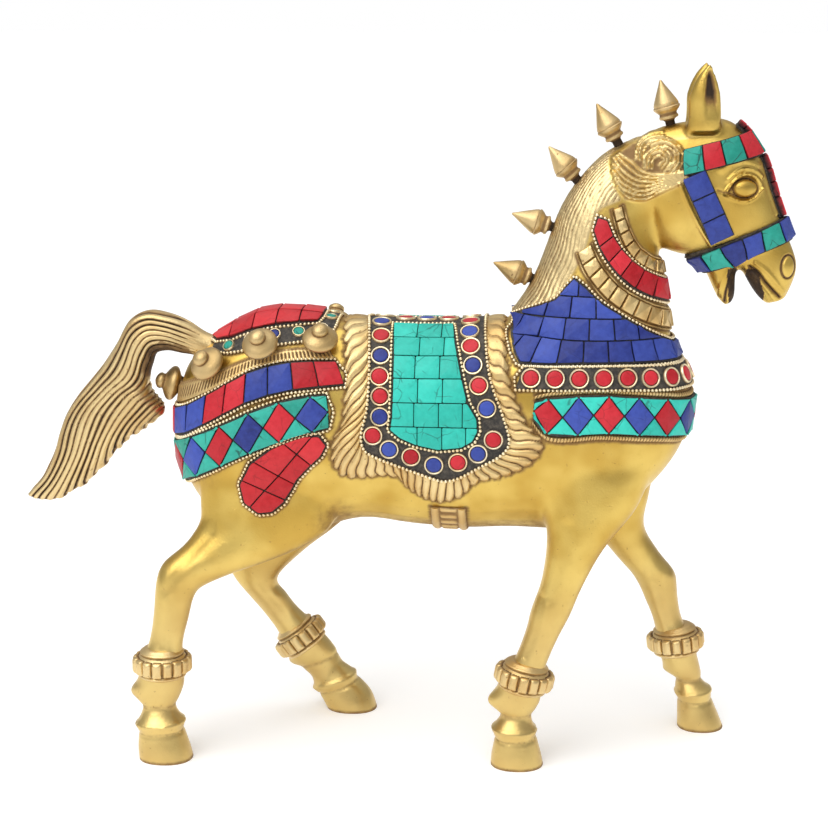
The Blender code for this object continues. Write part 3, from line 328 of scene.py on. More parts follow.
@dataclass(frozen=True)
class StoneFinish:
    """Cut stone set in dark resin: every stone has its own tone, and hairline cracks run in it."""

    name: str
    deep: Rgb
    light: Rgb
    crack: float
    soot: Rgb = (0.012, 0.010, 0.010)
    roughness: float = 0.42

    def build(self) -> bpy.types.Material:
        """The material: a tone for each stone, clouding, cracks and grime at the rim."""
        mix = Recipe(self.name)
        tone, rim = mix.paint("tone"), mix.paint("rim")
        clouding = mix.cloud(330.0, 4.0, 0.6)
        fine = mix.cloud(1500.0, 3.0, 0.6)
        lines = (1.0 - mix.cracks(105.0).rising(0.004, 0.03)) * self.crack
        lines = lines * mix.cloud(120.0, 1.0).rising(0.45, 0.6)
        share = tone * 0.8 + (clouding - 0.5) * 0.9 + 0.1
        body = mix.blend(self.deep, self.light, share.clamped())
        dirt = ((rim + (clouding - 0.5) * 0.5).rising(0.35, 0.95) + lines * 0.75).clamped()
        mix.relief(clouding * 0.5 + fine * 0.35 - lines, 0.00012)
        rough = self.roughness + (clouding - 0.5) * 0.25 + dirt * 0.3
        return mix.finish(Base_Color=mix.blend(body, self.soot, dirt), Specular_IOR_Level=0.3,
                          Roughness=rough.clamped())


@dataclass(frozen=True)
class ResinFinish:
    """The dark filled resin between stones and rings."""

    name: str = "dark_resin"
    dark: Rgb = (0.016, 0.014, 0.012)
    dusty: Rgb = (0.10, 0.083, 0.064)

    def build(self) -> bpy.types.Material:
        """The material: dull and dusty, with a gritty surface."""
        mix = Recipe(self.name)
        dust = mix.cloud(420.0, 5.0, 0.7)
        grit = mix.cloud(1800.0, 3.0, 0.7)
        mix.relief(dust + grit * 0.5, 0.0003)
        return mix.finish(Base_Color=mix.blend(self.dark, self.dusty, dust.rising(0.35, 0.75)),
                          Roughness=(0.5 + dust * 0.35).clamped())


@dataclass(frozen=True)
class FloorFinish:
    """The pale studio floor."""

    name: str = "pale_floor"

    def build(self) -> bpy.types.Material:
        """The material: matt and nearly white."""
        mix = Recipe(self.name)
        shade = mix.cloud(3.0, 2.0)
        return mix.finish(Base_Color=mix.blend((0.93, 0.93, 0.93), (0.96, 0.96, 0.96), shade),
                          Roughness=0.9, Emission_Color=(1, 1, 1, 1), Emission_Strength=0.2)


class Finishes:
    """Every finish of the statue, built once."""

    stone_looks: dict[Colour, tuple[Rgb, Rgb, float]] = {      # deep, light, strength of cracks
        Colour.CORAL: ((0.36, 0.006, 0.012), (0.66, 0.030, 0.045), 0.35),
        Colour.PINK: ((0.42, 0.010, 0.015), (0.67, 0.036, 0.044), 0.35),
        Colour.LAPIS: ((0.016, 0.026, 0.17), (0.050, 0.088, 0.42), 0.3),
        Colour.TURQUOISE: ((0.018, 0.40, 0.32), (0.045, 0.64, 0.52), 0.65),
        Colour.TEAL: ((0.014, 0.25, 0.19), (0.04, 0.46, 0.36), 0.9)}

    def __init__(self) -> None:
        """Builds the materials."""
        self.cast = BrassFinish("cast_brass", (0.72, 0.515, 0.135), (0.55, 0.35, 0.07),
                                stains=0.28).build()
        self.carved = BrassFinish("carved_brass", (0.80, 0.62, 0.31), (0.62, 0.41, 0.16),
                                  roughness=0.42, grain=0.0002, pits=0.7).build()
        self.bead = BrassFinish("bead_brass", (0.95, 0.83, 0.58), (0.82, 0.65, 0.38),
                                pits=0.2).build()
        self.turned = BrassFinish("turned_brass", (0.68, 0.51, 0.26), (0.50, 0.34, 0.14),
                                  roughness=0.46, grain=0.00016, pits=0.8).build()
        self.resin = ResinFinish().build()
        self.stones = {colour: StoneFinish(f"{colour.value}_stone", *look).build()
                       for colour, look in self.stone_looks.items()}


# Modelling tools.

class Bench:
    """The hand tools: one selection at a time, and operators on it."""

    @staticmethod
    def pick(*objects: bpy.types.Object) -> None:
        """Selects these objects and nothing else; the last one is active.

        Args:
            objects: what is selected.
        """
        bpy.ops.object.select_all(action="DESELECT")
        for obj in objects:
            obj.select_set(True)
        bpy.context.view_layer.objects.active = objects[-1]

    @classmethod
    def modify(cls, obj: bpy.types.Object, kind: str, **settings: object) -> None:
        """Adds a modifier with these settings and applies it.

        Args:
            obj: the object.
            kind: the modifier's type.
            settings: its settings, by name.
        """
        cls.pick(obj)
        modifier = obj.modifiers.new(kind.lower(), kind)
        for key, value in settings.items():
            setattr(modifier, key, value)
        bpy.ops.object.modifier_apply(modifier=modifier.name)

    @classmethod
    def join(cls, name: str, objects: Sequence[bpy.types.Object]) -> bpy.types.Object:
        """One object from several.

        Args:
            name: the new object's name.
            objects: what is joined.

        Returns:
            The object.
        """
        cls.pick(*objects)
        if len(objects) > 1:
            bpy.ops.object.join()
        joined = bpy.context.view_layer.objects.active
        joined.name = joined.data.name = name
        return joined

    @staticmethod
    @contextmanager
    def opened(obj: bpy.types.Object) -> Iterator[bmesh.types.BMesh]:
        """Lends an object's mesh for editing, and writes it back.

        Args:
            obj: the object.

        Returns:
            The mesh, open until the with block ends.
        """
        bm = bmesh.new()
        bm.from_mesh(obj.data)
        yield bm
        bm.to_mesh(obj.data)
        bm.free()

    @classmethod
    def face_outwards(cls, obj: bpy.types.Object) -> None:
        """Turns an object's faces outwards."""
        with cls.opened(obj) as bm:
            bmesh.ops.recalc_face_normals(bm, faces=bm.faces)

    @classmethod
    def cut(cls, obj: bpy.types.Object, point: Sequence[float], normal: Sequence[float],
            keep_above: bool, close: bool = True) -> None:
        """Cuts an object at a plane.

        Args:
            obj: what is cut.
            point: a point of the plane.
            normal: the plane's normal.
            keep_above: whether the side that the normal points to is kept.
            close: whether the cut is closed with a flat face.
        """
        with cls.opened(obj) as bm:
            bmesh.ops.bisect_plane(bm, geom=bm.verts[:] + bm.edges[:] + bm.faces[:], dist=1e-5,
                                   plane_co=point, plane_no=normal, clear_inner=keep_above,
                                   clear_outer=not keep_above)
            if close:
                bmesh.ops.holes_fill(bm, edges=[e for e in bm.edges if e.is_boundary])

    @classmethod
    def turned(cls, profile: Sequence[Pair], sides: int) -> Pattern:
        """A turned solid that stands on the Z axis.

        Args:
            profile: rows of (height, radius), from its foot to its tip or round into its hollow.
            sides: its number of sides.

        Returns:
            A closed pattern: a disc, extruded and resized row by row.
        """
        height, radius = profile[0]
        bpy.ops.mesh.primitive_circle_add(vertices=sides, radius=radius, fill_type="NGON",
                                          location=(0, 0, height))
        bpy.ops.object.transform_apply(location=True, rotation=True, scale=True)
        bpy.ops.object.mode_set(mode="EDIT")
        bpy.ops.mesh.select_all(action="SELECT")
        for (low, old), (high, new) in zip(profile, profile[1:]):
            bpy.ops.mesh.extrude_region_move(TRANSFORM_OT_translate={"value": (0, 0, high - low)})
            ratio = max(new, 0.01) / max(old, 0.01)
            bpy.ops.transform.resize(value=(ratio, ratio, 1), center_override=(0, 0, high))
        bpy.ops.mesh.select_all(action="SELECT")
        bpy.ops.mesh.normals_make_consistent(inside=False)
        bpy.ops.object.mode_set(mode="OBJECT")
        return cls.take_apart(bpy.context.object)

    @classmethod
    def bead(cls, radius: float) -> Pattern:
        """A granule with its foot cut flat."""
        bpy.ops.mesh.primitive_uv_sphere_add(segments=8, ring_count=6, radius=radius)
        cls.cut(bpy.context.object, (0, 0, -0.45 * radius), (0, 0, 1), True)
        return cls.take_apart(bpy.context.object)

    @classmethod
    def stud(cls, width: float, height: float, rise: float) -> Pattern:
        """A cushion-topped block with rounded edges, standing out along +Z.

        Args:
            width: its size along X.
            height: its size along Y.
            rise: its size along Z.

        Returns:
            The closed pattern.
        """
        bpy.ops.mesh.primitive_cube_add(size=1)
        obj = bpy.context.object
        obj.scale = (width, height, rise)
        bpy.ops.object.transform_apply(location=True, rotation=True, scale=True)
        bpy.ops.object.mode_set(mode="EDIT")
        bm = bmesh.from_edit_mesh(obj.data)
        for face in bm.faces:
            face.select_set(face.normal.z > 0.9)
        bm.select_flush_mode()
        bmesh.update_edit_mesh(obj.data)
        bpy.ops.mesh.inset(thickness=min(width, height) * 0.28, depth=rise * 0.28)
        bpy.ops.object.mode_set(mode="OBJECT")
        cls.modify(obj, "BEVEL", width=min(width, height) * 0.12, segments=2,
                   limit_method="ANGLE")
        return cls.take_apart(obj)

    @staticmethod
    def take_apart(obj: bpy.types.Object) -> Pattern:
        """The points and faces of a pattern piece, which is then put away.

        Args:
            obj: the object.

        Returns:
            The pattern.
        """
        mesh = obj.data
        points = np.array([v.co for v in mesh.vertices])
        faces = [list(p.vertices) for p in mesh.polygons]
        bpy.data.objects.remove(obj)
        bpy.data.meshes.remove(mesh)
        return points, faces


def linked(name: str, data: bpy.types.ID) -> bpy.types.Object:
    """A new object in the scene."""
    obj = bpy.data.objects.new(name, data)
    bpy.context.scene.collection.objects.link(obj)
    return obj


def paint_points(mesh: bpy.types.Mesh, name: str, values: np.ndarray) -> None:
    """Writes a value on each point of a mesh."""
    layer = mesh.attributes.new(name, "FLOAT", "POINT")
    layer.data.foreach_set("value", values.astype(np.float32))


class Heap:
    """Points, faces and paint of a mesh in the making."""

    def __init__(self) -> None:
        """Starts empty."""
        self.points: list[np.ndarray] = []
        self.faces: list[list[int]] = []
        self.paint: dict[str, list[np.ndarray]] = {}
        self.count = 0

    def add(self, points: Sequence[Sequence[float]], faces: Iterable[Sequence[int]],
            **paint: object) -> None:
        """Adds a shell.

        Args:
            points: its points in millimetres.
            faces: its faces, by the numbers of its own points.
            paint: values for all or each of its points, by name.
        """
        points = np.asarray(points, float)
        self.points.append(points)
        self.faces.extend([self.count + i for i in face] for face in faces)
        for key, value in paint.items():
            self.paint.setdefault(key, []).append(np.broadcast_to(np.asarray(value, float),
                                                                  (len(points),)))
        self.count += len(points)

    def stamp(self, pattern: Pattern, where: Matrix, **paint: object) -> None:
        """Adds a copy of a pattern, moved by a matrix."""
        points, faces = pattern
        turn = np.array(where.to_3x3())
        self.add(points @ turn.T + np.array(where.translation), faces, **paint)

    def build(self, name: str) -> bpy.types.Object:
        """The finished object, still in drawn millimetres.

        Args:
            name: the object's name.

        Returns:
            The object.
        """
        mesh = bpy.data.meshes.new(name)
        mesh.from_pydata(np.concatenate(self.points), [], self.faces)
        for key, values in self.paint.items():
            paint_points(mesh, key, np.concatenate(values))
        return linked(name, mesh)


class Statue:
    """Hands finished pieces over to the frame."""

    def __init__(self, finishes: Finishes) -> None:
        """Keeps the finishes."""
        self.finishes = finishes

    def hand_over(self, obj: bpy.types.Object, material: bpy.types.Material, slot: str,
                  replaces: Sequence[str] = (), smooth: float = 40.0,
                  outward: bool = True) -> None:
        """Settles a piece in the frame, with its finish.

        Args:
            obj: the piece, in drawn millimetres.
            material: its finish.
            slot: the slot of its finish; not used.
            replaces: the CAD nodes that it stands for.
            smooth: edges that bend less than these degrees are shaded smooth.
            outward: whether its faces are turned outwards again.
        """
        mesh = obj.data
        mesh.transform(SETTLE)
        mesh.name = obj.name
        if outward:
            Bench.face_outwards(obj)
        mesh.materials.clear()
        mesh.materials.append(material)
        Bench.pick(obj)
        bpy.ops.object.shade_smooth_by_angle(angle=math.radians(smooth))
        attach(obj, "root")
        if replaces:
            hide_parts(*replaces)
        log.info("%s: %d faces", obj.name, len(mesh.polygons))


# Slices of the castings, as they were drawn in side view.

@dataclass(frozen=True)
class Slice:
    """Two opposite edge points (x, z) of a limb, its middle and half width across the horse."""

    ax: float
    az: float
    bx: float
    bz: float
    y: float
    half: float


def side(rows: Sequence[Sequence[float]], y: float | None = None) -> list[Slice]:
    """Slices from rows of (ax, az, bx, bz, y, half width), or without y where it is given."""
    return [Slice(*r) if y is None else Slice(*r[:4], y, r[4]) for r in rows]


TRUNK = side([
    (-118, 178, -118, 162, 5), (-116.5, 189, -116.5, 150, 14), (-112, 201, -112, 138, 22.5),
    (-103, 209, -103, 126, 30), (-90, 218, -90, 117, 34.5), (-72, 225.5, -72, 114, 37),
    (-50, 225.5, -50, 116, 37), (-25, 222, -25, 122.5, 35), (0, 221, 0, 120, 34.5),
    (25, 221.5, 25, 118.5, 35), (50, 225, 50, 119.5, 35.5), (75, 232, 75, 119, 35.5),
    (95, 232, 95, 122, 34), (112, 222, 111, 135, 30.5), (126, 212, 124.5, 150, 23.5),
    (134.5, 199, 132.5, 163, 14), (137, 189, 136, 175, 5)], 0)
NECK = side([
    (46, 205, 130, 175, 31), (48, 226, 128, 205, 28), (55, 238, 125.5, 222, 24.5),
    (61, 250, 123, 238, 21.5), (66, 264, 120.5, 252, 19), (72, 280, 118, 264, 17),
    (81, 294, 118, 272, 15), (93, 306, 120, 278, 13.5), (108, 313.5, 126, 284, 13)], 0)
SKULL = side([
    (106, 311, 118, 276, 9), (118, 318, 119, 262, 13), (134, 321.5, 128, 257.5, 15.5),
    (150, 322, 140, 256, 15.5), (161, 313, 148, 252, 14.5), (167, 302.5, 152, 250, 13.5),
    (171.5, 289.5, 155, 250.5, 11.5), (177, 275, 157.5, 250.5, 10), (182.5, 262.5, 160, 248.5, 10),
    (185.5, 253.5, 163.5, 242.5, 10), (184.5, 246, 167.5, 237, 8.5),
    (180.5, 236, 171.5, 233.5, 5.5)], 0)
JAW = side([
    (155, 262, 137, 259, 10), (156.5, 253, 141, 251, 9), (156.5, 246, 144.5, 243.5, 7.5),
    (156.5, 238, 148, 236.5, 6.5), (155, 233.5, 151.5, 232.5, 4)], 0)
EAR = side([
    (130, 316, 147, 317, 5.5), (130.8, 325, 146.8, 326, 5.5), (130.8, 333, 146, 334, 5.2),
    (133.2, 340, 144.4, 340.5, 4), (137, 346, 142.2, 346, 2.2), (139.8, 348.6, 141.2, 348.6, 0.9)],
    0)
EAR_SPREAD = 10.0
EAR_SPLAY = 4.0
RIGHT_HIND = side([
    (-106, 150, -36, 150, -19, 16), (-105, 134, -37, 126, -22, 14.5),
    (-105, 124, -49, 114.5, -24.5, 13), (-112, 113, -68, 106, -27.5, 11.5),
    (-122, 104.5, -88, 99, -30, 10), (-125.5, 98, -103, 92, -31, 9.5),
    (-126.8, 89, -107.5, 86, -32, 9), (-127.8, 77, -110, 76, -33, 8.3),
    (-130, 64, -113, 64, -34, 8), (-134, 55, -113, 55, -35, 9.5), (-136, 45, -112.5, 44, -35.5, 10),
    (-138.5, 38.5, -113.5, 39, -36, 9), (-134, 31, -116.5, 32, -36.5, 7.6),
    (-134.5, 27, -116.5, 28.5, -36.8, 8.2), (-137, 21.5, -112.8, 23.5, -37, 11),
    (-136, 17.5, -113, 19, -37, 10.5), (-136.5, 9, -110, 9, -37, 12),
    (-135.5, 0, -108, 0, -37, 12.5)])
LEFT_HIND = side([
    (-104, 150, -34, 150, 19, 16), (-103, 128, -31, 124, 22, 14.5),
    (-102, 108, -42, 110, 24.5, 13), (-102.3, 91, -59, 96, 27, 11.5),
    (-98, 79.2, -75, 79, 29, 9), (-91.7, 70, -70.3, 69, 31, 8.5),
    (-83.6, 58.8, -65, 60.5, 34, 8), (-76, 47, -58.5, 53.5, 36, 8.8), (-73, 37, -54, 48, 37, 9.8),
    (-69.5, 30.5, -49, 42, 38, 9.5), (-63.5, 25.5, -44.6, 35.5, 39, 8),
    (-58.5, 20.5, -42.5, 29.5, 40, 8.2), (-57.5, 13.5, -36, 24, 41, 11),
    (-54.5, 10.5, -34.4, 21, 41, 10.5), (-50.5, 3, -26.5, 12, 41, 12), (-49, 0, -22.6, 0, 41, 12)])
RIGHT_FORE = side([
    (60, 150, 118, 155, -18, 16), (64, 136, 112.7, 135.5, -21, 15),
    (67.5, 121, 96, 115, -24.5, 13), (65.5, 100, 85.5, 96, -27.5, 10.5),
    (60.4, 84, 80.1, 82.5, -28.8, 9.5), (57.8, 73, 73.6, 69, -29.4, 8.4),
    (52.6, 58.8, 68.3, 55.5, -30, 8), (46.5, 52, 67, 47, -30, 9.5), (44.5, 45, 66, 41.5, -30, 10),
    (40.7, 37, 66, 37.5, -30, 9), (45.5, 30, 62, 30, -30, 7.6), (45, 27, 61.5, 27, -30, 8.2),
    (41.8, 22.5, 63.8, 21.8, -30, 11), (43, 17.4, 64, 18.5, -30, 10.5),
    (41.5, 9, 66.5, 9, -30, 12), (41, 0, 68.3, 0, -30, 12.5)])
LEFT_FORE = side([
    (66, 150, 122, 150, 18, 16), (76, 130, 119, 130, 21, 15), (92, 110, 116.5, 114, 24, 12.5),
    (103, 96, 124.5, 99, 26.5, 10.5), (110, 88, 133, 88, 28, 10),
    (114.5, 80.8, 134.5, 80.5, 29, 9.2), (118.4, 72, 135.4, 72, 29.3, 8.5),
    (122.3, 62.5, 137.9, 61.5, 29.6, 8), (125, 51.5, 144, 51.5, 30, 9.5),
    (127, 41.5, 146, 42.5, 30, 10), (129.6, 35.5, 148, 35.2, 30, 9),
    (135, 29.5, 148.8, 30, 30, 7.6), (135, 27, 149.5, 28, 30, 8.2),
    (135.2, 22, 153.6, 24, 30, 10.8), (136.2, 18, 154.3, 19, 30, 10.5),
    (136.5, 9, 158.5, 9, 30, 12), (136.5, 0, 162, 0, 30, 12.3)])
LEGS = ((RIGHT_HIND, Flank.RIGHT), (LEFT_HIND, Flank.LEFT), (RIGHT_FORE, Flank.RIGHT),
        (LEFT_FORE, Flank.LEFT))
TAIL = side([
    (-92, 211, -99, 199, 6), (-103.5, 214.5, -109, 203, 7), (-113, 220, -116, 204.5, 8),
    (-123, 224, -123.5, 206, 9.5), (-133.5, 225.5, -130, 204, 10.5),
    (-142.5, 220.5, -132.5, 198, 11), (-149.5, 208.5, -134, 191.5, 11),
    (-156, 199, -132.5, 184, 11), (-164, 189.5, -126.5, 175.5, 11), (-171.8, 180, -133.4, 168, 11),
    (-176.5, 172, -141.5, 162.5, 10.5), (-180, 163.5, -149, 156.5, 10),
    (-183, 154.4, -156, 148.5, 9.5), (-187, 145.6, -165.5, 138.5, 8),
    (-191, 138.4, -175.2, 131.8, 6.5), (-195.8, 132.6, -185.0, 127, 4.5),
    (-198.8, 129.2, -194.2, 126.9, 2)], 0)


def catmull_rom(values: Sequence[Sequence[float]], steps: int) -> list[tuple[float, ...]]:
    """Points on a smooth curve through rows of numbers.

    Args:
        values: the rows.
        steps: how many points there are from one row to the next.

    Returns:
        The curve's points, both ends included.
    """
    out: list[tuple[float, ...]] = []
    last = len(values) - 1
    for i in range(last):
        p0, p1, p2, p3 = values[max(i - 1, 0)], values[i], values[i + 1], values[min(i + 2, last)]
        for k in range(steps):
            t = k / steps
            out.append(tuple(
                0.5 * (2 * b + (c - a) * t + (2 * a - 5 * b + 4 * c - d) * t * t
                       + (3 * b - a - 3 * c + d) * t ** 3)
                for a, b, c, d in zip(p0, p1, p2, p3)))
    out.append(tuple(values[last]))
    return out


def smooth_rows(slices: Sequence[Slice], steps: int) -> np.ndarray:
    """Rows of (ax, az, bx, bz, y, half width) along a limb, with steps rows to a slice."""
    return np.array(catmull_rom([(s.ax, s.az, s.bx, s.bz, s.y, s.half) for s in slices], steps))


def loft(name: str, slices: Sequence[Slice], around: int = 24, roundness: float = 2.0,
         steps: int = 4) -> bpy.types.Object:
    """A closed skin over a limb's slices.

    Args:
        name: the object's name.
        slices: the limb's slices.
        around: points to each ring.
        roundness: the power of the rings' superellipse.
        steps: rings from one slice to the next.

    Returns:
        The object.
    """
    rows = smooth_rows(slices, steps)
    turn = 2 * np.pi * np.arange(around) / around
    along = np.copysign(np.abs(np.cos(turn)) ** (2 / roundness), np.cos(turn))
    across = np.copysign(np.abs(np.sin(turn)) ** (2 / roundness), np.sin(turn))
    middle = (rows[:, 0:2] + rows[:, 2:4]) / 2
    reach = (rows[:, 2:4] - rows[:, 0:2]) / 2
    flat = middle[:, None] + reach[:, None] * along[None, :, None]
    depth = rows[:, 4:5] + rows[:, 5:6] * across[None]
    points = np.stack([flat[..., 0], depth, flat[..., 1]], axis=-1).reshape(-1, 3)
    last = (len(rows) - 1) * around
    heap = Heap()
    heap.add(points, [*ring_faces(len(rows), around), [*reversed(range(around))],
                      [*range(last, last + around)]])
    return heap.build(name)


def ring_faces(rows: int, around: int) -> list[list[int]]:
    """The faces between rows of rings of points."""
    return [[r * around + k, r * around + (k + 1) % around, (r + 1) * around + (k + 1) % around,
             (r + 1) * around + k] for r in range(rows - 1) for k in range(around)]


def slab_faces(upper: list[list[int]], count: int) -> tuple[list[list[int]], set[int]]:
    """Closes a sheet of faces to a slab.

    Args:
        upper: the sheet's faces.
        count: how far on in the list of points the point under each point is.

    Returns:
        The slab's faces, and the points of the sheet that lie on its rim.
    """
    sides = {edge for face in upper for edge in pairs(face)}
    rim = [(p, q) for p, q in sides if (q, p) not in sides]
    under = [[count + i for i in reversed(face)] for face in upper]
    return ([*upper, *under, *([q, p, count + p, count + q] for p, q in rim)],
            {p for p, _ in rim})


# Sculpting.

def soft_step(values: np.ndarray, low: float, high: float) -> np.ndarray:
    """0 below low, 1 above high and smooth between them."""
    t = np.clip((values - low) / (high - low), 0, 1)
    return t * t * (3 - 2 * t)


def hump(gap: np.ndarray, reach: float) -> np.ndarray:
    """1 where the gap is 0, and softly less as it grows past the reach."""
    return np.exp(-(gap / reach) ** 2)


def pairs(loop: Sequence) -> Iterator[tuple]:
    """Each member of a closed loop with the next one."""
    return zip(loop, [*loop[1:], loop[0]])


def line_distance(points: np.ndarray, line: Sequence[Pair]) -> np.ndarray:
    """The distance of each flat point to a line of points.

    Args:
        points: the points, one to a row.
        line: the line's points.

    Returns:
        A distance for each point.
    """
    best = np.full(len(points), 1e9)
    for start, end in zip(line, line[1:]):
        a, d = np.array(start, float), np.array(end, float) - np.array(start, float)
        t = np.clip((points - a) @ d / max(d @ d, 1e-9), 0, 1)
        best = np.minimum(best, np.linalg.norm(points - a - t[:, None] * d, axis=1))
    return best


def inside(points: np.ndarray, outline: Sequence[Pair]) -> np.ndarray:
    """Which flat points lie inside a closed outline.

    Args:
        points: the points, one to a row.
        outline: the closed outline.

    Returns:
        Whether it lies inside, for each point.
    """
    x, z = points[:, 0], points[:, 1]
    within = np.zeros(len(points), bool)
    for (x0, z0), (x1, z1) in pairs(outline):
        crosses = (z0 > z) != (z1 > z)
        if z1 != z0:
            within ^= crosses & (x < (x1 - x0) * (z - z0) / (z1 - z0) + x0)
    return within


class Clay:
    """A skin that is worked point by point, in drawn millimetres."""

    def __init__(self, obj: bpy.types.Object) -> None:
        """Reads the object's points and normals.

        Args:
            obj: the object.
        """
        self.obj = obj
        mesh = obj.data
        flat = np.empty(len(mesh.vertices) * 3, np.float32)
        mesh.vertices.foreach_get("co", flat)
        self.co = flat.reshape(-1, 3).astype(float)
        mesh.vertices.foreach_get("normal", flat)
        self.normal = flat.reshape(-1, 3).astype(float)
        self.flat = self.co[:, [0, 2]]
        self.rise, self.hollow, self.pale = np.zeros((3, len(self.co)))
        self.push = np.zeros((len(self.co), 3))
        self.facing = soft_step(np.abs(self.normal[:, 1]), 0.12, 0.45)

    def gap(self, spot: Pair) -> np.ndarray:
        """Each point's distance to a spot (x, z) of the side view."""
        return np.hypot(*(self.flat - spot).T)

    def near(self, line: Sequence[Pair], width: float) -> np.ndarray:
        """A share for each point: 1 on a line drawn in side view, fading over a width."""
        return hump(line_distance(self.flat, line), width)

    def ridge(self, line: Sequence[Pair], width: float, rise: float) -> None:
        """Raises the skin along a line drawn in side view, or sinks it where rise is below 0.

        Args:
            line: the line's points (x, z).
            width: half of the ridge's width.
            rise: its height.
        """
        shape = self.near(catmull_rom(line, 4), width) * self.facing
        self.rise += shape * rise
        if rise < 0:
            self.hollow = np.maximum(self.hollow, shape * min(1.0, -rise * 1.6))

    def strand(self, line: Sequence[Pair], width: float, clear: float, rise: float) -> None:
        """Lays one bright strand of hair on the skin, and clears the brown round it."""
        gap = line_distance(self.flat, line)
        self.rise = np.maximum(self.rise, hump(gap, width) * self.facing * rise)
        self.hollow *= 1 - 0.95 * hump(gap, clear) * self.facing

    def dome(self, middle: Pair, radii: Pair, rise: float, power: float = 1.0) -> None:
        """Swells the skin inside an ellipse drawn in side view."""
        d = np.hypot((self.flat[:, 0] - middle[0]) / radii[0],
                     (self.flat[:, 1] - middle[1]) / radii[1])
        self.rise += rise * np.clip(1 - d ** 2, 0, 1) ** power * self.facing

    def shade(self, amount: np.ndarray) -> None:
        """Darkens the skin by at least this much, for brown patina in hollows and for painted
        shade.
        """
        self.hollow = np.maximum(self.hollow, amount)

    def write(self) -> None:
        """Moves the points and paints the hollows' patina, the painted shade and the pale."""
        self.co += self.normal * self.rise[:, None] + self.push
        mesh = self.obj.data
        mesh.vertices.foreach_set("co", self.co.astype(np.float32).ravel())
        mesh.update()
        for name, values in (("hollow", self.hollow), ("pale", self.pale)):
            paint_points(mesh, name, np.clip(values, 0, 1))


def ellipse(middle: Pair, radii: Pair, count: int) -> Line:
    """The points of an ellipse drawn in side view, back to the first one."""
    return [(middle[0] + radii[0] * math.cos(a), middle[1] + radii[1] * math.sin(a))
            for a in np.linspace(0, 2 * math.pi, count)]


EYE, NOSTRIL = (158.8, 290.4), (180.6, 252.6)
FACE_SWELLS = (      # middle, radii, rise, power
    ((158.0, 290.6), (9.5, 8.0), -1.3, 1.0), (EYE, (5.9, 4.4), 3.0, 0.6),
    (NOSTRIL, (5.0, 7.4), 1.1, 1.0), ((168, 272), (9, 14), 0.5, 1.0))
FACE_LINES = (      # line, half width, rise
    ([(147.4, 299.5), (152.0, 302.5), (158.0, 303.5), (164.5, 301)], 1.6, 0.9),
    (ellipse(EYE, (5.9, 4.5), 25), 0.5, -0.5),
    ([(149.2, 288.0), (151.9, 292.3), (155.2, 295.6), (159.8, 296.9), (164.2, 294.6),
      (166.2, 290.4)], 0.85, 1.9),
    ([(150.6, 294.2), (154.5, 297.9), (158.8, 299.6), (163.6, 298.2), (166.4, 295.6)], 0.8, 1.1),
    ([(150.1, 287.4), (154.0, 285.4), (158.7, 284.4), (163.3, 286.2), (166.0, 289.6)], 0.8, 1.5),
    ([(151.2, 289.2), (153.8, 293.3), (157.0, 295.0), (160.5, 295.1), (163.4, 293.2)], 0.5, -0.6),
    ([(151.0, 288.2), (154.4, 286.8), (158.7, 285.8), (162.4, 287.2)], 0.45, -0.5),
    ([(145.6, 289.6), (149.6, 288.4), (151.6, 289.2)], 0.6, -0.35),
    (ellipse(NOSTRIL, (3.4, 5.6), 17), 0.6, -0.9),
    ([(162.2, 252.2), (166.1, 249.8), (169.6, 245.5), (173.6, 241.2), (178.0, 236.9)], 0.75, -1.6),
    ([(165.0, 254.5), (170.4, 250.6), (174.9, 245.6), (179.3, 240.0)], 0.8, 0.8),
    ([(163.4, 250.2), (168.0, 245.6), (172.0, 240.6), (175.0, 236.0)], 0.8, 0.6),
    ([(156.2, 252.5), (153.5, 245.6), (151.8, 239.8), (151.0, 234.4)], 0.8, -0.9),
    ([(152.8, 251.5), (150.2, 245.6), (148.6, 239.8), (148.0, 235.4)], 0.9, 0.7),
    ([(127.8, 292.4), (132.0, 282.8), (138.6, 270.2), (144.2, 262.1)], 0.8, 0.9),
    ([(165.6, 303.6), (168.8, 294.1), (172.0, 284.7), (174.6, 277.6)], 0.7, 0.8))
TENDONS = (      # line, half width, rise
    ([(-98, 120), (-112, 104), (-119, 92)], 2.6, -0.7),
    ([(-117.5, 88), (-119.5, 74), (-121, 62)], 1.6, -0.6),
    ([(78, 128), (74, 108), (70, 92)], 3.0, -0.6), ([(66, 92), (63, 74), (58, 62)], 1.6, -0.5),
    ([(124, 84), (127, 70), (131, 60)], 1.6, -0.5), ([(-84, 76), (-77, 66), (-71, 57)], 1.6, -0.5))


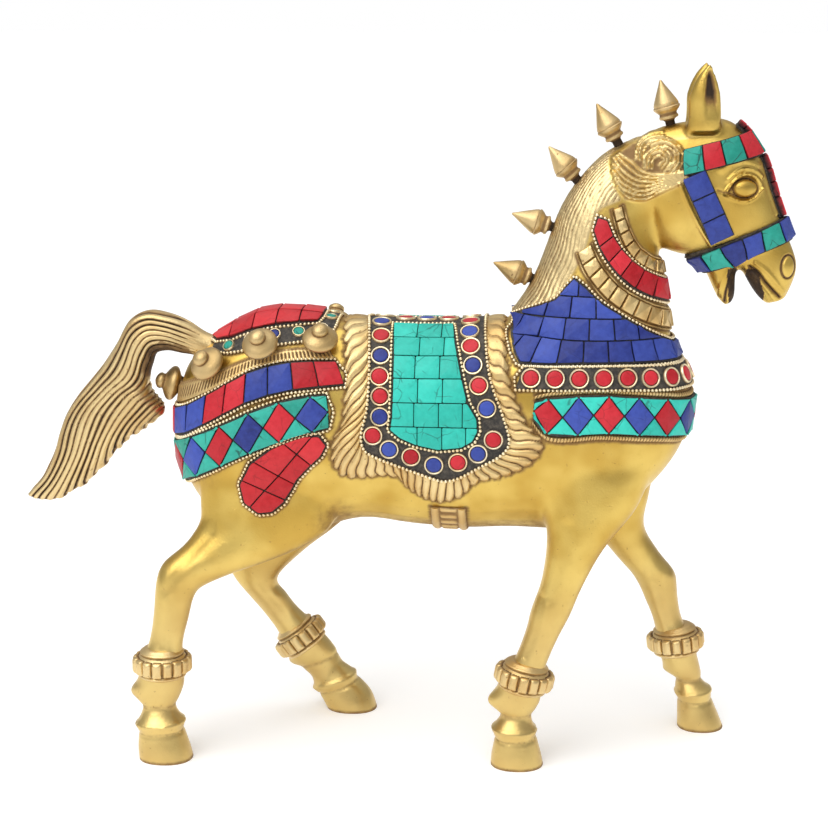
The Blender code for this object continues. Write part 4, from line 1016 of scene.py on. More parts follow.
@dataclass
class Castings:
    """The cast body: trunk and legs as one piece, neck and head as another."""

    voxel: float = 1.3
    blend_reach: float = 4.16
    neck_joint: tuple[Pair, Pair] = ((90.0, 216.0), (0.26, 0.966))
    mane_front: Path = (
        (62.5, 230.0), (70.1, 236.0), (78.5, 248.8), (84.1, 259.5), (86.8, 269.1), (90.4, 278.7),
        (96.9, 282.1), (100.7, 284.5), (97.7, 291.2), (95.2, 298.7), (95.5, 304.4), (103.9, 310.1),
        (113.2, 313.0))
    folds: tuple[tuple[Pair, float, float], ...] = (      # middle, reach, how much painted shade
        ((-36.0, 126.0), 13.0, 0.4), ((-44.0, 112.0), 9.0, 0.45), ((62.0, 122.0), 9.0, 0.4),
        ((-100.0, 150.0), 12.0, 0.25), ((-62.0, 168.0), 10.0, 0.3), ((20.0, 124.0), 12.0, 0.3))
    softened: tuple[tuple[Triple, float], ...] = (     # middle, reach
        ((105.0, 30.0, 140.0), 24.0), ((119.0, 13.0, 264.0), 10.0))
    lock: tuple[Line, ...] = (
        [(132.5, 295.2), (120.9, 289.4), (111.6, 285.0), (103.5, 285.9), (98.2, 290.6)],
        [(131.5, 296.1), (119.4, 291.7), (109.6, 288.8), (101.5, 292.1), (96.1, 297.7)],
        [(130.6, 297.0), (118.4, 294.1), (109.0, 293.5), (101.3, 297.7), (96.5, 303.4)],
        [(129.6, 298.0), (118.4, 296.5), (110.3, 297.8), (105.0, 302.0), (99.3, 305.3)],
        [(112.6, 299.7), (113.4, 304.4), (118.1, 307.3), (121.9, 303.6), (119.2, 299.8)],
        [(124.0, 297.9), (127.6, 303.6), (125.5, 309.2), (119.8, 311.6), (114.2, 309.6)],
        [(108.7, 303.5), (109.5, 309.1), (114.2, 312.9), (119.8, 313.9)])
    overlap: float = 8.0          # how far the neck is cut below its joint before it is refined
    hair_step: float = 0.092      # radians from one strand of the mane to the next
    crease: float = 55            # degrees

    def blended(self) -> bpy.types.Object:
        """The whole body without its tail as one smooth skin."""
        ears = [[Slice(s.ax, s.az, s.bx, s.bz,
                       flank.value * (EAR_SPREAD + EAR_SPLAY * (i / (len(EAR) - 1)) ** 2), s.half)
                 for i, s in enumerate(EAR)] for flank in Flank]
        limbs = [loft("trunk_skin", TRUNK, 32, 2.3), loft("neck_skin", NECK),
                 loft("skull_skin", SKULL, 24, 2.4), loft("jaw_skin", JAW, 16)]
        limbs += [loft("ear_skin", ear, 14) for ear in ears]
        limbs += [loft("leg_skin", leg, 20, 2.2) for leg, _ in LEGS]
        body = Bench.join("body_skin", limbs)
        Bench.modify(body, "REMESH", mode="VOXEL", voxel_size=self.voxel)
        Bench.modify(body, "SMOOTH", factor=0.5,
                     iterations=round((self.blend_reach / self.voxel) ** 2))
        places = np.array([(v.co.x, abs(v.co.y), v.co.z) for v in body.data.vertices])
        weight = np.maximum.reduce([hump(np.linalg.norm(places - middle, axis=1), reach)
                                    for middle, reach in self.softened])
        group = body.vertex_groups.new(name="softened")
        for i in np.nonzero(weight > 0.02)[0]:
            group.add([int(i)], float(weight[i]), "REPLACE")
        Bench.modify(body, "SMOOTH", factor=0.5, iterations=150, vertex_group="softened")
        body.vertex_groups.clear()
        return body

    def neck_place(self, clay: Clay) -> tuple[np.ndarray, np.ndarray]:
        """Where the points lie on the neck.

        Args:
            clay: the skin.

        Returns:
            The share of the way up the neck, and the angle round it from the crest.
        """
        rows = smooth_rows(NECK, 8)
        best = np.full(len(clay.flat), 1e9)
        up, angle = np.zeros(len(best)), np.zeros(len(best))
        for k, (ax, az, bx, bz, _, half) in enumerate(rows):
            a, d = np.array([ax, az]), np.array([bx - ax, bz - az])
            u = (clay.flat - a) @ d / (d @ d)
            gap = np.linalg.norm(clay.flat - a - np.clip(u, -0.2, 1.2)[:, None] * d, axis=1)
            near = gap < best
            best[near] = gap[near]
            up[near] = k / (len(rows) - 1)
            turn = np.arctan2(np.abs(clay.co[:, 1]) / half, 1 - 2 * u)
            angle[near] = turn[near]
        return up, angle

    def carve_mane(self, clay: Clay) -> None:
        """Cuts the strands of the mane along the crest, and ticks over the poll.

        Args:
            clay: the skin that is carved.
        """
        up, angle = self.neck_place(clay)
        front = catmull_rom(self.mane_front, 4)
        near, height = line_distance(clay.flat, front), clay.flat[:, 1]
        mane = (inside(clay.flat, [*front, (113, 345), (20, 345), (20, 215)])
                * soft_step(near, 0.0, 1.5) * soft_step(height, 222, 229))
        strand = (angle / self.hair_step + 0.55 * np.sin(height * 0.09)
                  + 0.22 * np.sin(height * 0.27 + angle * 5))
        number = np.floor(strand)
        depth = 0.75 + 0.35 * np.sin(number * 12.9898)
        groove = (1 - np.abs(np.sin(np.pi * strand)) ** 0.6) * depth
        broken = 0.75 + 0.25 * np.sin(height * 0.9 + number * 2.1)
        clay.rise += mane * (0.4 - 1.15 * groove * broken)
        clay.shade(mane * np.clip(groove * 1.15 * broken, 0, 1))
        clay.pale = np.maximum(clay.pale, mane * 0.85)
        edge = hump(near, 1.2) * clay.facing * soft_step(height, 226, 232)
        clay.rise -= 0.3 * edge
        clay.shade(edge * 0.3)
        poll = inside(clay.flat, [(108, 309), (122.7, 312), (134, 314), (150, 316), (160, 322),
                                  (150, 330), (108, 330)]) * clay.facing
        tick = 1 - np.abs(np.sin(np.pi * (clay.flat[:, 0] * 0.62 + 0.18 * height))) ** 0.6
        poll = poll * (1 - soft_step(height, 311, 316))
        clay.rise -= 0.45 * tick * poll
        clay.shade(tick * poll * 0.5)
        clay.pale = np.maximum(clay.pale, poll * 0.6)

    def carve_lock(self, clay: Clay) -> None:
        """Raises the curled lock of hair behind the cheek.

        Args:
            clay: the skin that is carved.
        """
        region = [(134, 293), (112, 282), (101, 283), (95, 292), (94, 304), (104, 312), (120, 316),
                  (130, 310)]
        depth = soft_step(line_distance(clay.flat, [*region, region[0]]), 0.3, 3.2)
        bed = inside(clay.flat, region) * clay.facing * depth
        clay.hollow *= 1 - bed
        clay.shade(bed * 0.62)
        clay.pale = np.maximum(clay.pale, bed * 0.6)
        fan, curls = [np.array(line) for line in self.lock[:4]], self.lock[4:]
        strands = [tuple(map(tuple, a + (b - a) * t)) for a, b in zip(fan, fan[1:])
                   for t in (0, 0.5)]
        for line in [*strands, self.lock[3], *curls]:
            clay.strand(catmull_rom(line, 4), 0.9, 0.95, 1.9)
        for line in curls:
            for shift in (-1.9, 1.9):
                clay.strand(offset_line(line, shift, 16), 0.6, 0.7, 1.2)

    def carve_face(self, clay: Clay) -> None:
        """Models the eyes, nostrils, mouth, jaw and ears.

        Args:
            clay: the skin that is carved.
        """
        for middle, radii, rise, power in FACE_SWELLS:
            clay.dome(middle, radii, rise, power)
        for line, width, rise in FACE_LINES:
            clay.ridge(line, width, rise)
        x, z = clay.flat.T
        lips = (x > 151) & (x < 170) & (z > 232) & (z < 251) & (np.abs(clay.normal[:, 0]) > 0.35)
        clay.shade((lips & (clay.normal[:, 0] * (161 - x) > 0)) * 0.95)
        levels = [s.az for s in EAR]
        rear = np.interp(z, levels, [s.ax for s in EAR])
        share = (x - rear) / (np.interp(z, levels, [s.bx for s in EAR]) - rear)
        out = soft_step(clay.normal[:, 1] * np.sign(clay.co[:, 1]), -0.3, 0.25)
        hole = (out * soft_step(z, 321.5, 334) * (1 - soft_step(z, 343, 347))
                * soft_step(share, 0.42, 0.58) * (1 - soft_step(share, 0.86, 0.97)))
        clay.rise -= 2.6 * hole
        clay.shade(hole * (0.6 + 0.4 * soft_step(z, 328, 336)))

    def carve_legs(self, clay: Clay) -> None:
        """Sharpens hooves, pasterns and tendons, browns their grooves and darkens the hooves'
        lowest edge.

        Args:
            clay: the skin that is carved.
        """
        height = clay.co[:, 2]
        for leg, flank in LEGS:
            on = soft_step(clay.co[:, 1] * flank.value, 12, 18)
            spur, pastern, coronet, rim = leg[-7], leg[-6], leg[-4], leg[-3]
            beside = hump(clay.co[:, 1] - spur.y, 4.0) * on
            clay.push += (hump(clay.gap((spur.ax + 3.0, spur.az)), 3.2)[:, None]
                          * beside[:, None] * np.array([-3.0, 0, -0.4]))
            for ring, width, rise in ((coronet, 1.2, 1.0), (rim, 0.9, -0.7), (pastern, 1.6, -0.5)):
                shape = clay.near([(ring.ax - 3, ring.az), (ring.bx + 3, ring.bz)], width) * on
                clay.rise += shape * rise
                if rise < 0:
                    clay.shade(shape * 0.32)
        clay.pale += 0.35 * (1 - soft_step(height, 50, 130))
        # The hooves are painted darker along their lowest 2 mm.
        clay.shade(0.55 * (1 - soft_step(height, GROUND_Z + 0.4, GROUND_Z + 2.2)))
        for line, width, rise in TENDONS:
            clay.rise += clay.near(line, width) * clay.facing * rise

    @staticmethod
    def darken_near_trappings(clay: Clay, trimmings: Sequence[Vector], reach: float) -> None:
        """Darkens the skin close to the trappings.

        Args:
            clay: the skin.
            trimmings: points on the trappings' edges.
            reach: how far the darkening reaches.
        """
        tree = KDTree(len(trimmings))
        for i, place in enumerate(trimmings):
            tree.insert(place, i)
        tree.balance()
        low, high = np.min(trimmings, axis=0) - reach, np.max(trimmings, axis=0) + reach
        for i in np.all((clay.co > low) & (clay.co < high), axis=1).nonzero()[0]:
            gap = tree.find(clay.co[i])[2]
            if gap < reach:
                # The skin is painted darker the nearer it lies to the trappings.
                clay.hollow[i] = max(clay.hollow[i], 0.9 * (1 - gap / reach) ** 1.4)

    def under_belly(self, clay: Clay) -> None:
        """Paints shade on the downward-facing skin low on the body, and in the folds between the
        legs and the belly.

        Args:
            clay: the skin that is carved.
        """
        # Painted shade on skin that faces down, from 96 to 140 mm up.
        underside_shade = (soft_step(clay.co[:, 2], 96, 112) * (1 - soft_step(clay.co[:, 2], 118, 140))
                * soft_step(-clay.normal[:, 2], 0.35, 0.95))
        clay.shade(underside_shade * 0.45)
        # Painted shade round the folds listed in folds.
        for middle, reach, amount in self.folds:
            clay.shade(amount * hump(clay.gap(middle), reach) * clay.facing)

    def build(self, statue: Statue, body: bpy.types.Object,
              trimmings: Sequence[Vector]) -> None:
        """Parts the skin at the neck, carves both parts and hands them over.

        Args:
            statue: takes the finished pieces.
            body: the blended body.
            trimmings: points on the trappings' edges, where the skin is darkened.
        """
        upper = linked("neck_and_head", body.data.copy())
        (x, z), (nx, nz) = self.neck_joint
        joint, up = (x, 0, z), (nx, 0, nz)
        below = (x - self.overlap * nx, 0, z - self.overlap * nz)
        Bench.cut(body, (0, 0, GROUND_Z), (0, 0, 1), True)
        Bench.cut(body, joint, up, False)
        Bench.cut(upper, below, up, True, close=False)
        Bench.modify(upper, "SUBSURF", levels=1, render_levels=1)
        Bench.cut(upper, joint, up, True)
        body.name = "trunk_and_legs"
        low = Clay(body)
        self.carve_legs(low)
        self.under_belly(low)
        self.darken_near_trappings(low, trimmings, 3.0)
        low.rise[np.abs(low.co[:, 2] - GROUND_Z) < 0.01] = 0
        low.write()
        high = Clay(upper)
        self.carve_mane(high)
        self.carve_lock(high)
        self.carve_face(high)
        self.darken_near_trappings(high, trimmings, 2.4)
        high.write()
        legs = ("right_hind_leg", "left_hind_leg", "right_fore_leg", "left_fore_leg")
        for obj, nodes in ((body, ("trunk", *legs)), (upper, ("neck", "head"))):
            statue.hand_over(obj, statue.finishes.cast, "cast_brass", nodes, self.crease,
                             outward=False)


@dataclass
class Tail:
    """The arched tail, combed into strands that end along its lower edge."""

    steps: int = 13
    around: int = 220
    strand: float = 3.0
    relief: float = 0.85

    def build(self, statue: Statue) -> None:
        """Lofts the tail, combs it and hands it over.

        Args:
            statue: takes the finished pieces.
        """
        obj = loft("tail_casting", TAIL, self.around, 2.2, self.steps)
        Bench.face_outwards(obj)
        clay = Clay(obj)
        rows = smooth_rows(TAIL, self.steps)
        station = np.arange(len(clay.co)) // self.around
        widths = np.linalg.norm(rows[:, 2:4] - rows[:, 0:2], axis=1)
        outer, reach = rows[station, 0:2], rows[station, 2:4] - rows[station, 0:2]
        share = np.einsum("ij,ij->i", clay.flat - outer, reach) / np.maximum(
            widths[station] ** 2, 1e-6)
        spread = 22 + (widths[station] - 22) * soft_step(station / len(rows), 0.25, 0.5)
        across = np.clip(share, 0, 1) * spread
        length = station / len(rows)
        strand = (across / self.strand + 0.18 * np.sin(length * 21 + across * 0.2)
                  + 0.35 * np.where(clay.co[:, 1] > 0, 1, 0))
        number = np.floor(strand)
        wave = np.abs(np.sin(np.pi * strand))
        groove = 1 - wave ** 0.75
        fine = 0.5 + 0.5 * np.cos(2 * np.pi * strand * 3)
        taper = soft_step(length, 0.05, 0.16)
        depth = 0.85 + 0.3 * np.sin(number * 7.7)
        clay.rise = taper * (self.relief * (0.55 - 1.7 * groove * depth) - 0.16 * fine * wave)
        ragged = soft_step(share, 0.9, 1.0) * soft_step(length, 0.45, 0.55)
        clay.rise += ragged * 0.8 * np.sin(length * 130) * np.sin(length * 47)
        clay.rise *= 0.35 + 0.65 * soft_step(widths[station], 6, 16)
        clay.shade(taper * np.clip(groove * 1.9 * depth - 0.25, 0, 1) + 0.1 * fine * wave)
        clay.pale += 0.35
        x, z = clay.flat[:, 0], clay.flat[:, 1]
        hook = inside(clay.flat, [(-134, 203), (-126, 212), (-112, 208), (-108, 198), (-119, 194),
                                  (-130, 190), (-135, 196)])
        # The hook is painted darker, and the underside of the arch gets painted shade.
        under = soft_step(clay.normal[:, 0] * 0.5 - clay.normal[:, 2], 0.3, 0.8)
        clay.shade(np.maximum(hook * 0.5, under * 0.8 * (x < -112) * (z > 186)))
        clay.write()
        statue.hand_over(obj, statue.finishes.carved, "carved_brass", ("tail",), 75)


# Drawings, and the ways in which they are laid on the castings.

class Skin:
    """The castings' skin that drawings are laid on."""

    def __init__(self, obj: bpy.types.Object) -> None:
        """Builds the search tree of an object's faces."""
        mesh = obj.data
        self.tree = BVHTree.FromPolygons([v.co for v in mesh.vertices],
                                         [list(p.vertices) for p in mesh.polygons])

    def hit(self, origin: Vector, direction: Vector) -> tuple[Vector, Vector]:
        """Where a line meets the skin, and the skin's outward direction there.

        Args:
            origin: where the line starts.
            direction: where it goes.

        Returns:
            The place and the direction.
        """
        place, normal, _, _ = self.tree.ray_cast(origin, direction)
        if place is None:
            place, normal, _, _ = self.tree.find_nearest(origin)
        return place, normal


class Wrap:
    """A way to lay a flat drawing on the skin."""

    skin: Skin

    def spot(self, a: float, b: float) -> tuple[Vector, Vector]:
        """The place on the skin, and its outward direction, of a point of the drawing."""
        raise NotImplementedError

    def smooth_spot(self, a: float, b: float) -> tuple[Vector, Vector]:
        """The same with a direction that is averaged over the place's surroundings.

        Args:
            a: the first coordinate.
            b: the second coordinate.

        Returns:
            The place and the direction.
        """
        place, normal = self.spot(a, b)
        near = [found[1] for found in self.skin.tree.find_nearest_range(place, 1.8)]
        total = sum((n for n in near if n.dot(normal) > 0.3), Vector()) or normal
        return place, total.normalized()


class Rolled(Wrap):
    """A drawing rolled round a line: one coordinate runs along the line, one round it."""

    def __init__(self, skin: Skin, origin: Sequence[float], axis: Sequence[float],
                 zero: Sequence[float], roll: float, upright: bool = False,
                 start: float = 0.0) -> None:
        """Keeps the line, where the drawing's middle lies and how tightly it is rolled."""
        self.skin, self.roll, self.upright, self.start = skin, roll, upright, start
        self.origin, self.axis, self.zero = Vector(origin), Vector(axis), Vector(zero)
        self.side = self.axis.cross(self.zero)

    def spot(self, a: float, b: float) -> tuple[Vector, Vector]:
        """The place on the skin, and its outward direction, of a point of the drawing.

        Args:
            a: the first coordinate.
            b: the second coordinate.

        Returns:
            The place and the direction.
        """
        along, around = (b, a) if self.upright else (a, b)
        angle = around / self.roll
        out = self.zero * math.cos(angle) + self.side * math.sin(angle)
        middle = self.origin + self.axis * along
        if self.start:
            place, normal = self.skin.hit(middle + out * self.start, -out)
        else:
            place, normal = self.skin.hit(middle, out)
        return place, normal if normal.dot(out) > 0 else out


class FromSide(Wrap):
    """A drawing in side view (x, z), laid on one flank."""

    def __init__(self, skin: Skin, flank: Flank) -> None:
        """Keeps the skin and the flank."""
        self.skin, self.sign = skin, flank.value

    def spot(self, a: float, b: float) -> tuple[Vector, Vector]:
        """The place on the skin, and its outward direction, of a point of the drawing."""
        place, normal = self.skin.hit(Vector((a, self.sign * 100, b)), Vector((0, -self.sign, 0)))
        return place, normal if normal.y * self.sign > 0 else Vector((0, self.sign, 0))


def running(places: Sequence[Vector]) -> np.ndarray:
    """How far along a line of places each of them lies."""
    return np.concatenate([[0], np.cumsum([(q - p).length for p, q in zip(places, places[1:])])])


def respaced(rows: Sequence[Sequence[float]], reach: np.ndarray,
             count: int) -> list[tuple[float, ...]]:
    """Rows of numbers at even steps of a run.

    Args:
        rows: the rows.
        reach: how far along the run each of them lies.
        count: the number of steps.

    Returns:
        The new rows, both ends included.
    """
    targets = np.linspace(0, reach[-1], count + 1)
    return [tuple(map(float, row)) for row in zip(*(np.interp(targets, reach, column)
                                                    for column in np.array(rows).T))]


def evenly(points: Sequence[Pair], count: int) -> Line:
    """Points at even distances along a smooth open curve, both ends included."""
    rows = catmull_rom(points, 8)
    reach = np.cumsum([0.0, *(math.dist(p, q) for p, q in zip(rows, rows[1:]))])
    return respaced(rows, reach, count)


def flipped(line: Sequence[Pair], sign: int = -1) -> Line:
    """A line with its second coordinates times a sign."""
    return [(a, sign * b) for a, b in line]


def both_ways(half: Sequence[Sequence[float]]) -> list[tuple[float, ...]]:
    """An open line, or rows of a band, from a half that starts in the middle."""
    return [(-a, *rest) for a, *rest in reversed(half) if a > 0] + list(half)


def signed_area(outline: Sequence[Pair]) -> float:
    """The area inside an outline, negative where it runs clockwise."""
    return sum(p[0] * q[1] - q[0] * p[1] for p, q in pairs(outline)) / 2


def one_way(cell: Cell) -> Cell:
    """The same cell with its corners anticlockwise."""
    return cell if signed_area(cell) > 0 else cell[::-1]


def widened(outline: Sequence[Pair], distance: float) -> Line:
    """A closed outline moved outwards by a distance.

    Args:
        outline: the closed outline.
        distance: how far it moves, inwards where it is negative.

    Returns:
        The new outline.
    """
    turn = math.copysign(1.0, signed_area(outline))
    out = []
    for i, (a, b) in enumerate(outline):
        before, after = outline[i - 1], outline[(i + 1) % len(outline)]
        along = Vector((after[0] - before[0], after[1] - before[1])).normalized()
        out.append((a + along.y * distance * turn, b - along.x * distance * turn))
    return out


def mirrored_outline(half: Sequence[Pair], across: int = 1) -> Line:
    """A closed outline from one half, mirrored in its first (0) or second (1) coordinate."""
    other = [(-a, b) if across == 0 else (a, -b) for a, b in reversed(half)
             if abs((a, b)[across]) > 1e-6]
    return [*half, *other]


def cells_of(outline: Sequence[Pair], rows: Sequence[float] = (), columns: Sequence[float] = (),
             cuts: Sequence[tuple[Pair, Pair]] = ()) -> list[Cell]:
    """The cells of an outline that is cut by lines.

    Args:
        outline: the closed outline.
        rows: second coordinates of cuts along the first.
        columns: first coordinates of cuts along the second.
        cuts: other cuts, each through two points.

    Returns:
        The cells, each a list of its corners.
    """
    bm = bmesh.new()
    bm.faces.new([bm.verts.new((a, b, 0)) for a, b in outline])
    lines = [((0, b), (1, b)) for b in rows] + [((a, 0), (a, 1)) for a in columns] + list(cuts)
    for (a0, b0), (a1, b1) in lines:
        bmesh.ops.bisect_plane(bm, geom=bm.verts[:] + bm.edges[:] + bm.faces[:], dist=0.01,
                               plane_co=Vector((a0, b0, 0)), plane_no=Vector((b0 - b1, a1 - a0, 0)))
    cells = [[(v.co.x, v.co.y) for v in f.verts] for f in bm.faces]
    bm.free()
    return cells


def courses(outline: Sequence[Pair], rows: Sequence[float],
            joints: Callable[[int], Sequence[float]]) -> list[Cell]:
    """The cells of an outline that is cut into courses, with joints that don't line up.

    Args:
        outline: the closed outline.
        rows: where the courses meet.
        joints: gives the places of a course's upright joints, by its number.

    Returns:
        The cells.
    """
    out = []
    for course in cells_of(outline, rows):
        level = sum(row < sum(b for _, b in course) / len(course) for row in rows)
        out += cells_of(course, (), joints(level))
    return [cell for cell in out if abs(signed_area(cell)) > 9]


def band_rows(stations: Stations, wrap: Wrap, count: int) -> list[tuple[float, ...]]:
    """Rows (a, upper, lower) of a band, evenly spaced on the skin from end to end.

    Args:
        stations: its edges (a, upper, lower) at some places of one half, from its middle.
        wrap: how the drawing is laid.
        count: the number of steps from end to end.

    Returns:
        The rows.
    """
    fine = catmull_rom(both_ways(stations), 12)
    return respaced(fine, running([wrap.spot(a, (u + l) / 2)[0] for a, u, l in fine]), count)


def edges(rows: Sequence[Sequence[float]], up: float = 0.0, down: float = 0.0) -> tuple[Line, Line]:
    """A band's upper and lower edge, moved up and down by these distances."""
    return [(a, u + up) for a, u, _ in rows], [(a, l - down) for a, _, l in rows]


def band_outline(rows: Sequence[Sequence[float]], margin: float) -> Line:
    """The closed outline of a band, with a margin above and below."""
    top, foot = edges(rows, margin, margin)
    return [*top, *reversed(foot)]


def band_loop(rows: Sequence[Sequence[float]], up: float, down: float, beyond: float) -> Line:
    """A closed line round a band, with a point beyond each end."""
    (top, foot), (a, u, l) = edges(rows, up, down), rows[-1]
    return [*foot, (a + beyond, (u + l) / 2), *reversed(top), (-a - beyond, (u + l) / 2)]


def quads(top: Sequence[Pair], foot: Sequence[Pair]) -> list[Cell]:
    """A row of stones between two lines with the same number of points."""
    return [list(cell) for cell in zip(top, foot, foot[1:], top[1:])]


def strip(middle_line: Sequence[Pair], half_width: float, count: int) -> list[Cell]:
    """A drawing of a row of stones along a line."""
    return quads(*(offset_line(middle_line, shift, count)
                   for shift in (half_width, -half_width)))


def offset_line(line: Sequence[Pair], distance: float, count: int = 40) -> Line:
    """An open line beside another one, at a distance to its left.

    Args:
        line: the line's points.
        distance: how far it lies to the left.
        count: its number of steps.

    Returns:
        The new line's points.
    """
    points = evenly(line, count)
    out = []
    for i, (a, b) in enumerate(points):
        q, r = points[max(i - 1, 0)], points[min(i + 1, count)]
        along = Vector((r[0] - q[0], r[1] - q[1])).normalized()
        out.append((a - along.y * distance, b + along.x * distance))
    return out


def split(sides: Iterable[tuple[Pair, Pair]], pitch: float) -> Line:
    """Points along straight sides, the ends left out, no further apart than twice the pitch.

    Args:
        sides: the ends of each side.
        pitch: the distance that is aimed at.

    Returns:
        The points.
    """
    out: Line = []
    for p, q in sides:
        steps = max(1, int(math.dist(p, q) / pitch))
        out += [(p[0] + (q[0] - p[0]) * k / steps, p[1] + (q[1] - p[1]) * k / steps)
                for k in range(steps)]
    return out


Run = tuple[Wrap, Sequence[Pair], float, bool]      # a bead wire's wrap, line, height, closed


@dataclass
class Setter:
    """Cuts and sets stones, beads, rings and beds on the skin."""

    statue: Statue
    seed: int = 7
    grout: float = 0.26
    flatness: float = 0.75
    bead_radius: float = 0.9
    bead_pitch: float = 1.98
    collet_sides: int = 24
    stone_sides: int = 16
    bed_pitch: float = 3.0
    ring_profile: Path = (
        (-1.0, 1.0), (0.78, 1.0), (1.05, 0.955), (1.05, 0.865), (0.8, 0.82), (0.1, 0.80))
    stone_profile: Path = ((-0.3, 0.77), (0.6, 0.77), (0.95, 0.73), (1.1, 0.62), (1.16, 0.3))
    worn_edge: Path = ((0, 0.5), (0.14, 0.14), (0.55, 0))      # in from the joint, down
    bed_round: float = 0.25      # how far a bed's rim is lower than its middle
    bed_sunk: float = 0.6        # how far a bed goes into the skin
    slab_sunk: float = 0.7       # and a carved slab
    trimmings: list[Vector] = field(default_factory=list)

    def __post_init__(self) -> None:
        """Makes the patterns that are copied."""
        self.random = random.Random(self.seed)
        self.bead = Bench.bead(self.bead_radius)
        self.ring = Bench.turned(self.ring_profile, self.collet_sides)
        self.round_stone = Bench.turned(self.stone_profile, self.stone_sides)

    def stray(self) -> Vector:
        """A random vector."""
        return Vector([self.random.uniform(-1, 1) for _ in range(3)])

    def stone(self, heap: Heap, wrap: Wrap, cell: Cell, levels: Sequence[Pair], crown: float,
              loose: float = 0.1) -> None:
        """Adds one stone.

        Args:
            heap: where it goes.
            wrap: how its drawing is laid.
            cell: its corners in the drawing.
            levels: rows of (distance in from the cell's edge, height over the skin).
            crown: how far its middle stands over its last level.
            loose: how far it may sit out of line.
        """
        ring: Line = []
        for p, q in pairs(cell):
            far = (wrap.spot(*p)[0] - wrap.spot(*q)[0]).length
            bite = min(0.3, 0.55 / max(far, 0.1))
            shares = (bite, 0.5, 1 - bite) if far > 5 else (bite, 1 - bite)
            ring += [(p[0] + (q[0] - p[0]) * t, p[1] + (q[1] - p[1]) * t) for t in shares]
        spots = [wrap.smooth_spot(a, b) for a, b in ring]
        count = len(spots)
        middle = sum((p for p, _ in spots), Vector()) / count
        out = sum((n for _, n in spots), Vector()).normalized()
        turn = sum(((spots[i][0] - middle).cross(spots[(i + 1) % count][0] - middle)
                    for i in range(count)), Vector()).dot(out)
        if turn < 0:
            spots.reverse()
        tilt = self.stray() * 0.02 * loose / 0.1
        lift = self.random.uniform(-loose, loose)
        points, rim = [], []
        for number, (inset, height) in enumerate(levels):
            for i, (place, normal) in enumerate(spots):
                along = (spots[(i + 1) % count][0] - spots[i - 1][0]).normalized()
                shaped = place + normal.cross(along) * inset + normal * (
                    height + (lift + (place - middle).dot(tilt) if number else 0))
                if number:
                    shaped -= out * ((place - middle).dot(out) - 0.2) * self.flatness
                points.append(shaped)
                rim.append(1 - number / (len(levels) - 1))
        points.append(middle + out * (out.dot(sum((points[-1 - i] for i in range(count)), Vector())
                                                  / count - middle) + crown))
        rim.append(0.0)
        top = (len(levels) - 1) * count
        faces = [*ring_faces(len(levels), count),
                 *([top + i, top + (i + 1) % count, top + count] for i in range(count)),
                 [*reversed(range(count))]]
        heap.add(points, faces, rim=rim, tone=self.random.random())

    def stones(self, name: str, wrap: Wrap, cells: Sequence[tuple[Cell, Colour]], foot: float,
               top: float, replaces: Sequence[str] = (), grout: float | None = None) -> None:
        """Sets the stones of a drawing, one piece for each colour.

        Args:
            name: the start of the pieces' names.
            wrap: how the drawing is laid.
            cells: each cell and its colour.
            foot: the height of the stones' feet over the skin.
            top: the height of their faces.
            replaces: the CAD nodes that the first piece stands for.
            grout: half of the joints' width, where it isn't the usual one.
        """
        heaps: dict[Colour, Heap] = {}
        g = self.grout if grout is None else grout
        levels = [(g, foot), *((g + inset, top - down) for inset, down in self.worn_edge)]
        for cell, colour in cells:
            self.stone(heaps.setdefault(colour, Heap()), wrap, one_way(cell), levels, 0.1)
        for colour, heap in heaps.items():
            self.statue.hand_over(heap.build(f"{name}_{colour.value}"),
                                  self.statue.finishes.stones[colour], colour.value, replaces, 35)
            replaces = ()

    def walk(self, wrap: Wrap, line: Sequence[Pair], pitch: float,
             closed: bool = False) -> list[tuple[Vector, Vector, Vector]]:
        """Places at an even pitch along a line of a drawing.

        Args:
            wrap: how the drawing is laid.
            line: the line's points.
            pitch: the distance from place to place.
            closed: whether it runs back to its start.

        Returns:
            Each place with its outward direction and the line's direction.
        """
        line = [*line, *line[:closed]]
        spots = [wrap.smooth_spot(a, b) for a, b in [*split(zip(line, line[1:]), 1.2), line[-1]]]
        reach = running([place for place, _ in spots])
        count = max(1, round(reach[-1] / pitch))
        out, k = [], 0
        for i in range(count if closed else count + 1):
            target = reach[-1] * i / count
            while k < len(reach) - 2 and reach[k + 1] < target:
                k += 1
            t = (target - reach[k]) / max(reach[k + 1] - reach[k], 1e-6)
            (p, n), (q, m) = spots[k], spots[k + 1]
            out.append((p.lerp(q, t), n.lerp(m, t).normalized(), (q - p).normalized()))
        return out

    @staticmethod
    def stand(place: Vector, out: Vector, along: Vector | None = None, size: float = 1.0,
              tall: float | None = None) -> Matrix:
        """A matrix that stands a pattern on a place.

        Args:
            place: its foot.
            out: where its Z axis points.
            along: where its X axis points, roughly.
            size: its scale across.
            tall: its scale in height, or the same where it is left out.

        Returns:
            The matrix.
        """
        along = along if along is not None else out.orthogonal()
        across = out.cross(along).normalized()
        along = across.cross(out)
        turn = Matrix((along * size, across * size, out * (size if tall is None else tall))
                      ).transposed().to_4x4()
        return Matrix.Translation(place) @ turn

    def plant(self, name: str, pattern: Pattern, foot: Vector, out: Vector, brown: np.ndarray,
              node: str) -> None:
        """Stands a turned ornament on the statue, in place of a node.

        Args:
            name: the piece's name.
            pattern: its shape.
            foot: its place.
            out: where its axis points.
            brown: the brown of each point.
            node: the CAD node that it stands for.
        """
        heap = Heap()
        heap.stamp(pattern, self.stand(foot, out), hollow=brown)
        self.statue.hand_over(heap.build(name), self.statue.finishes.turned, "carved_brass",
                              (node,), 50)

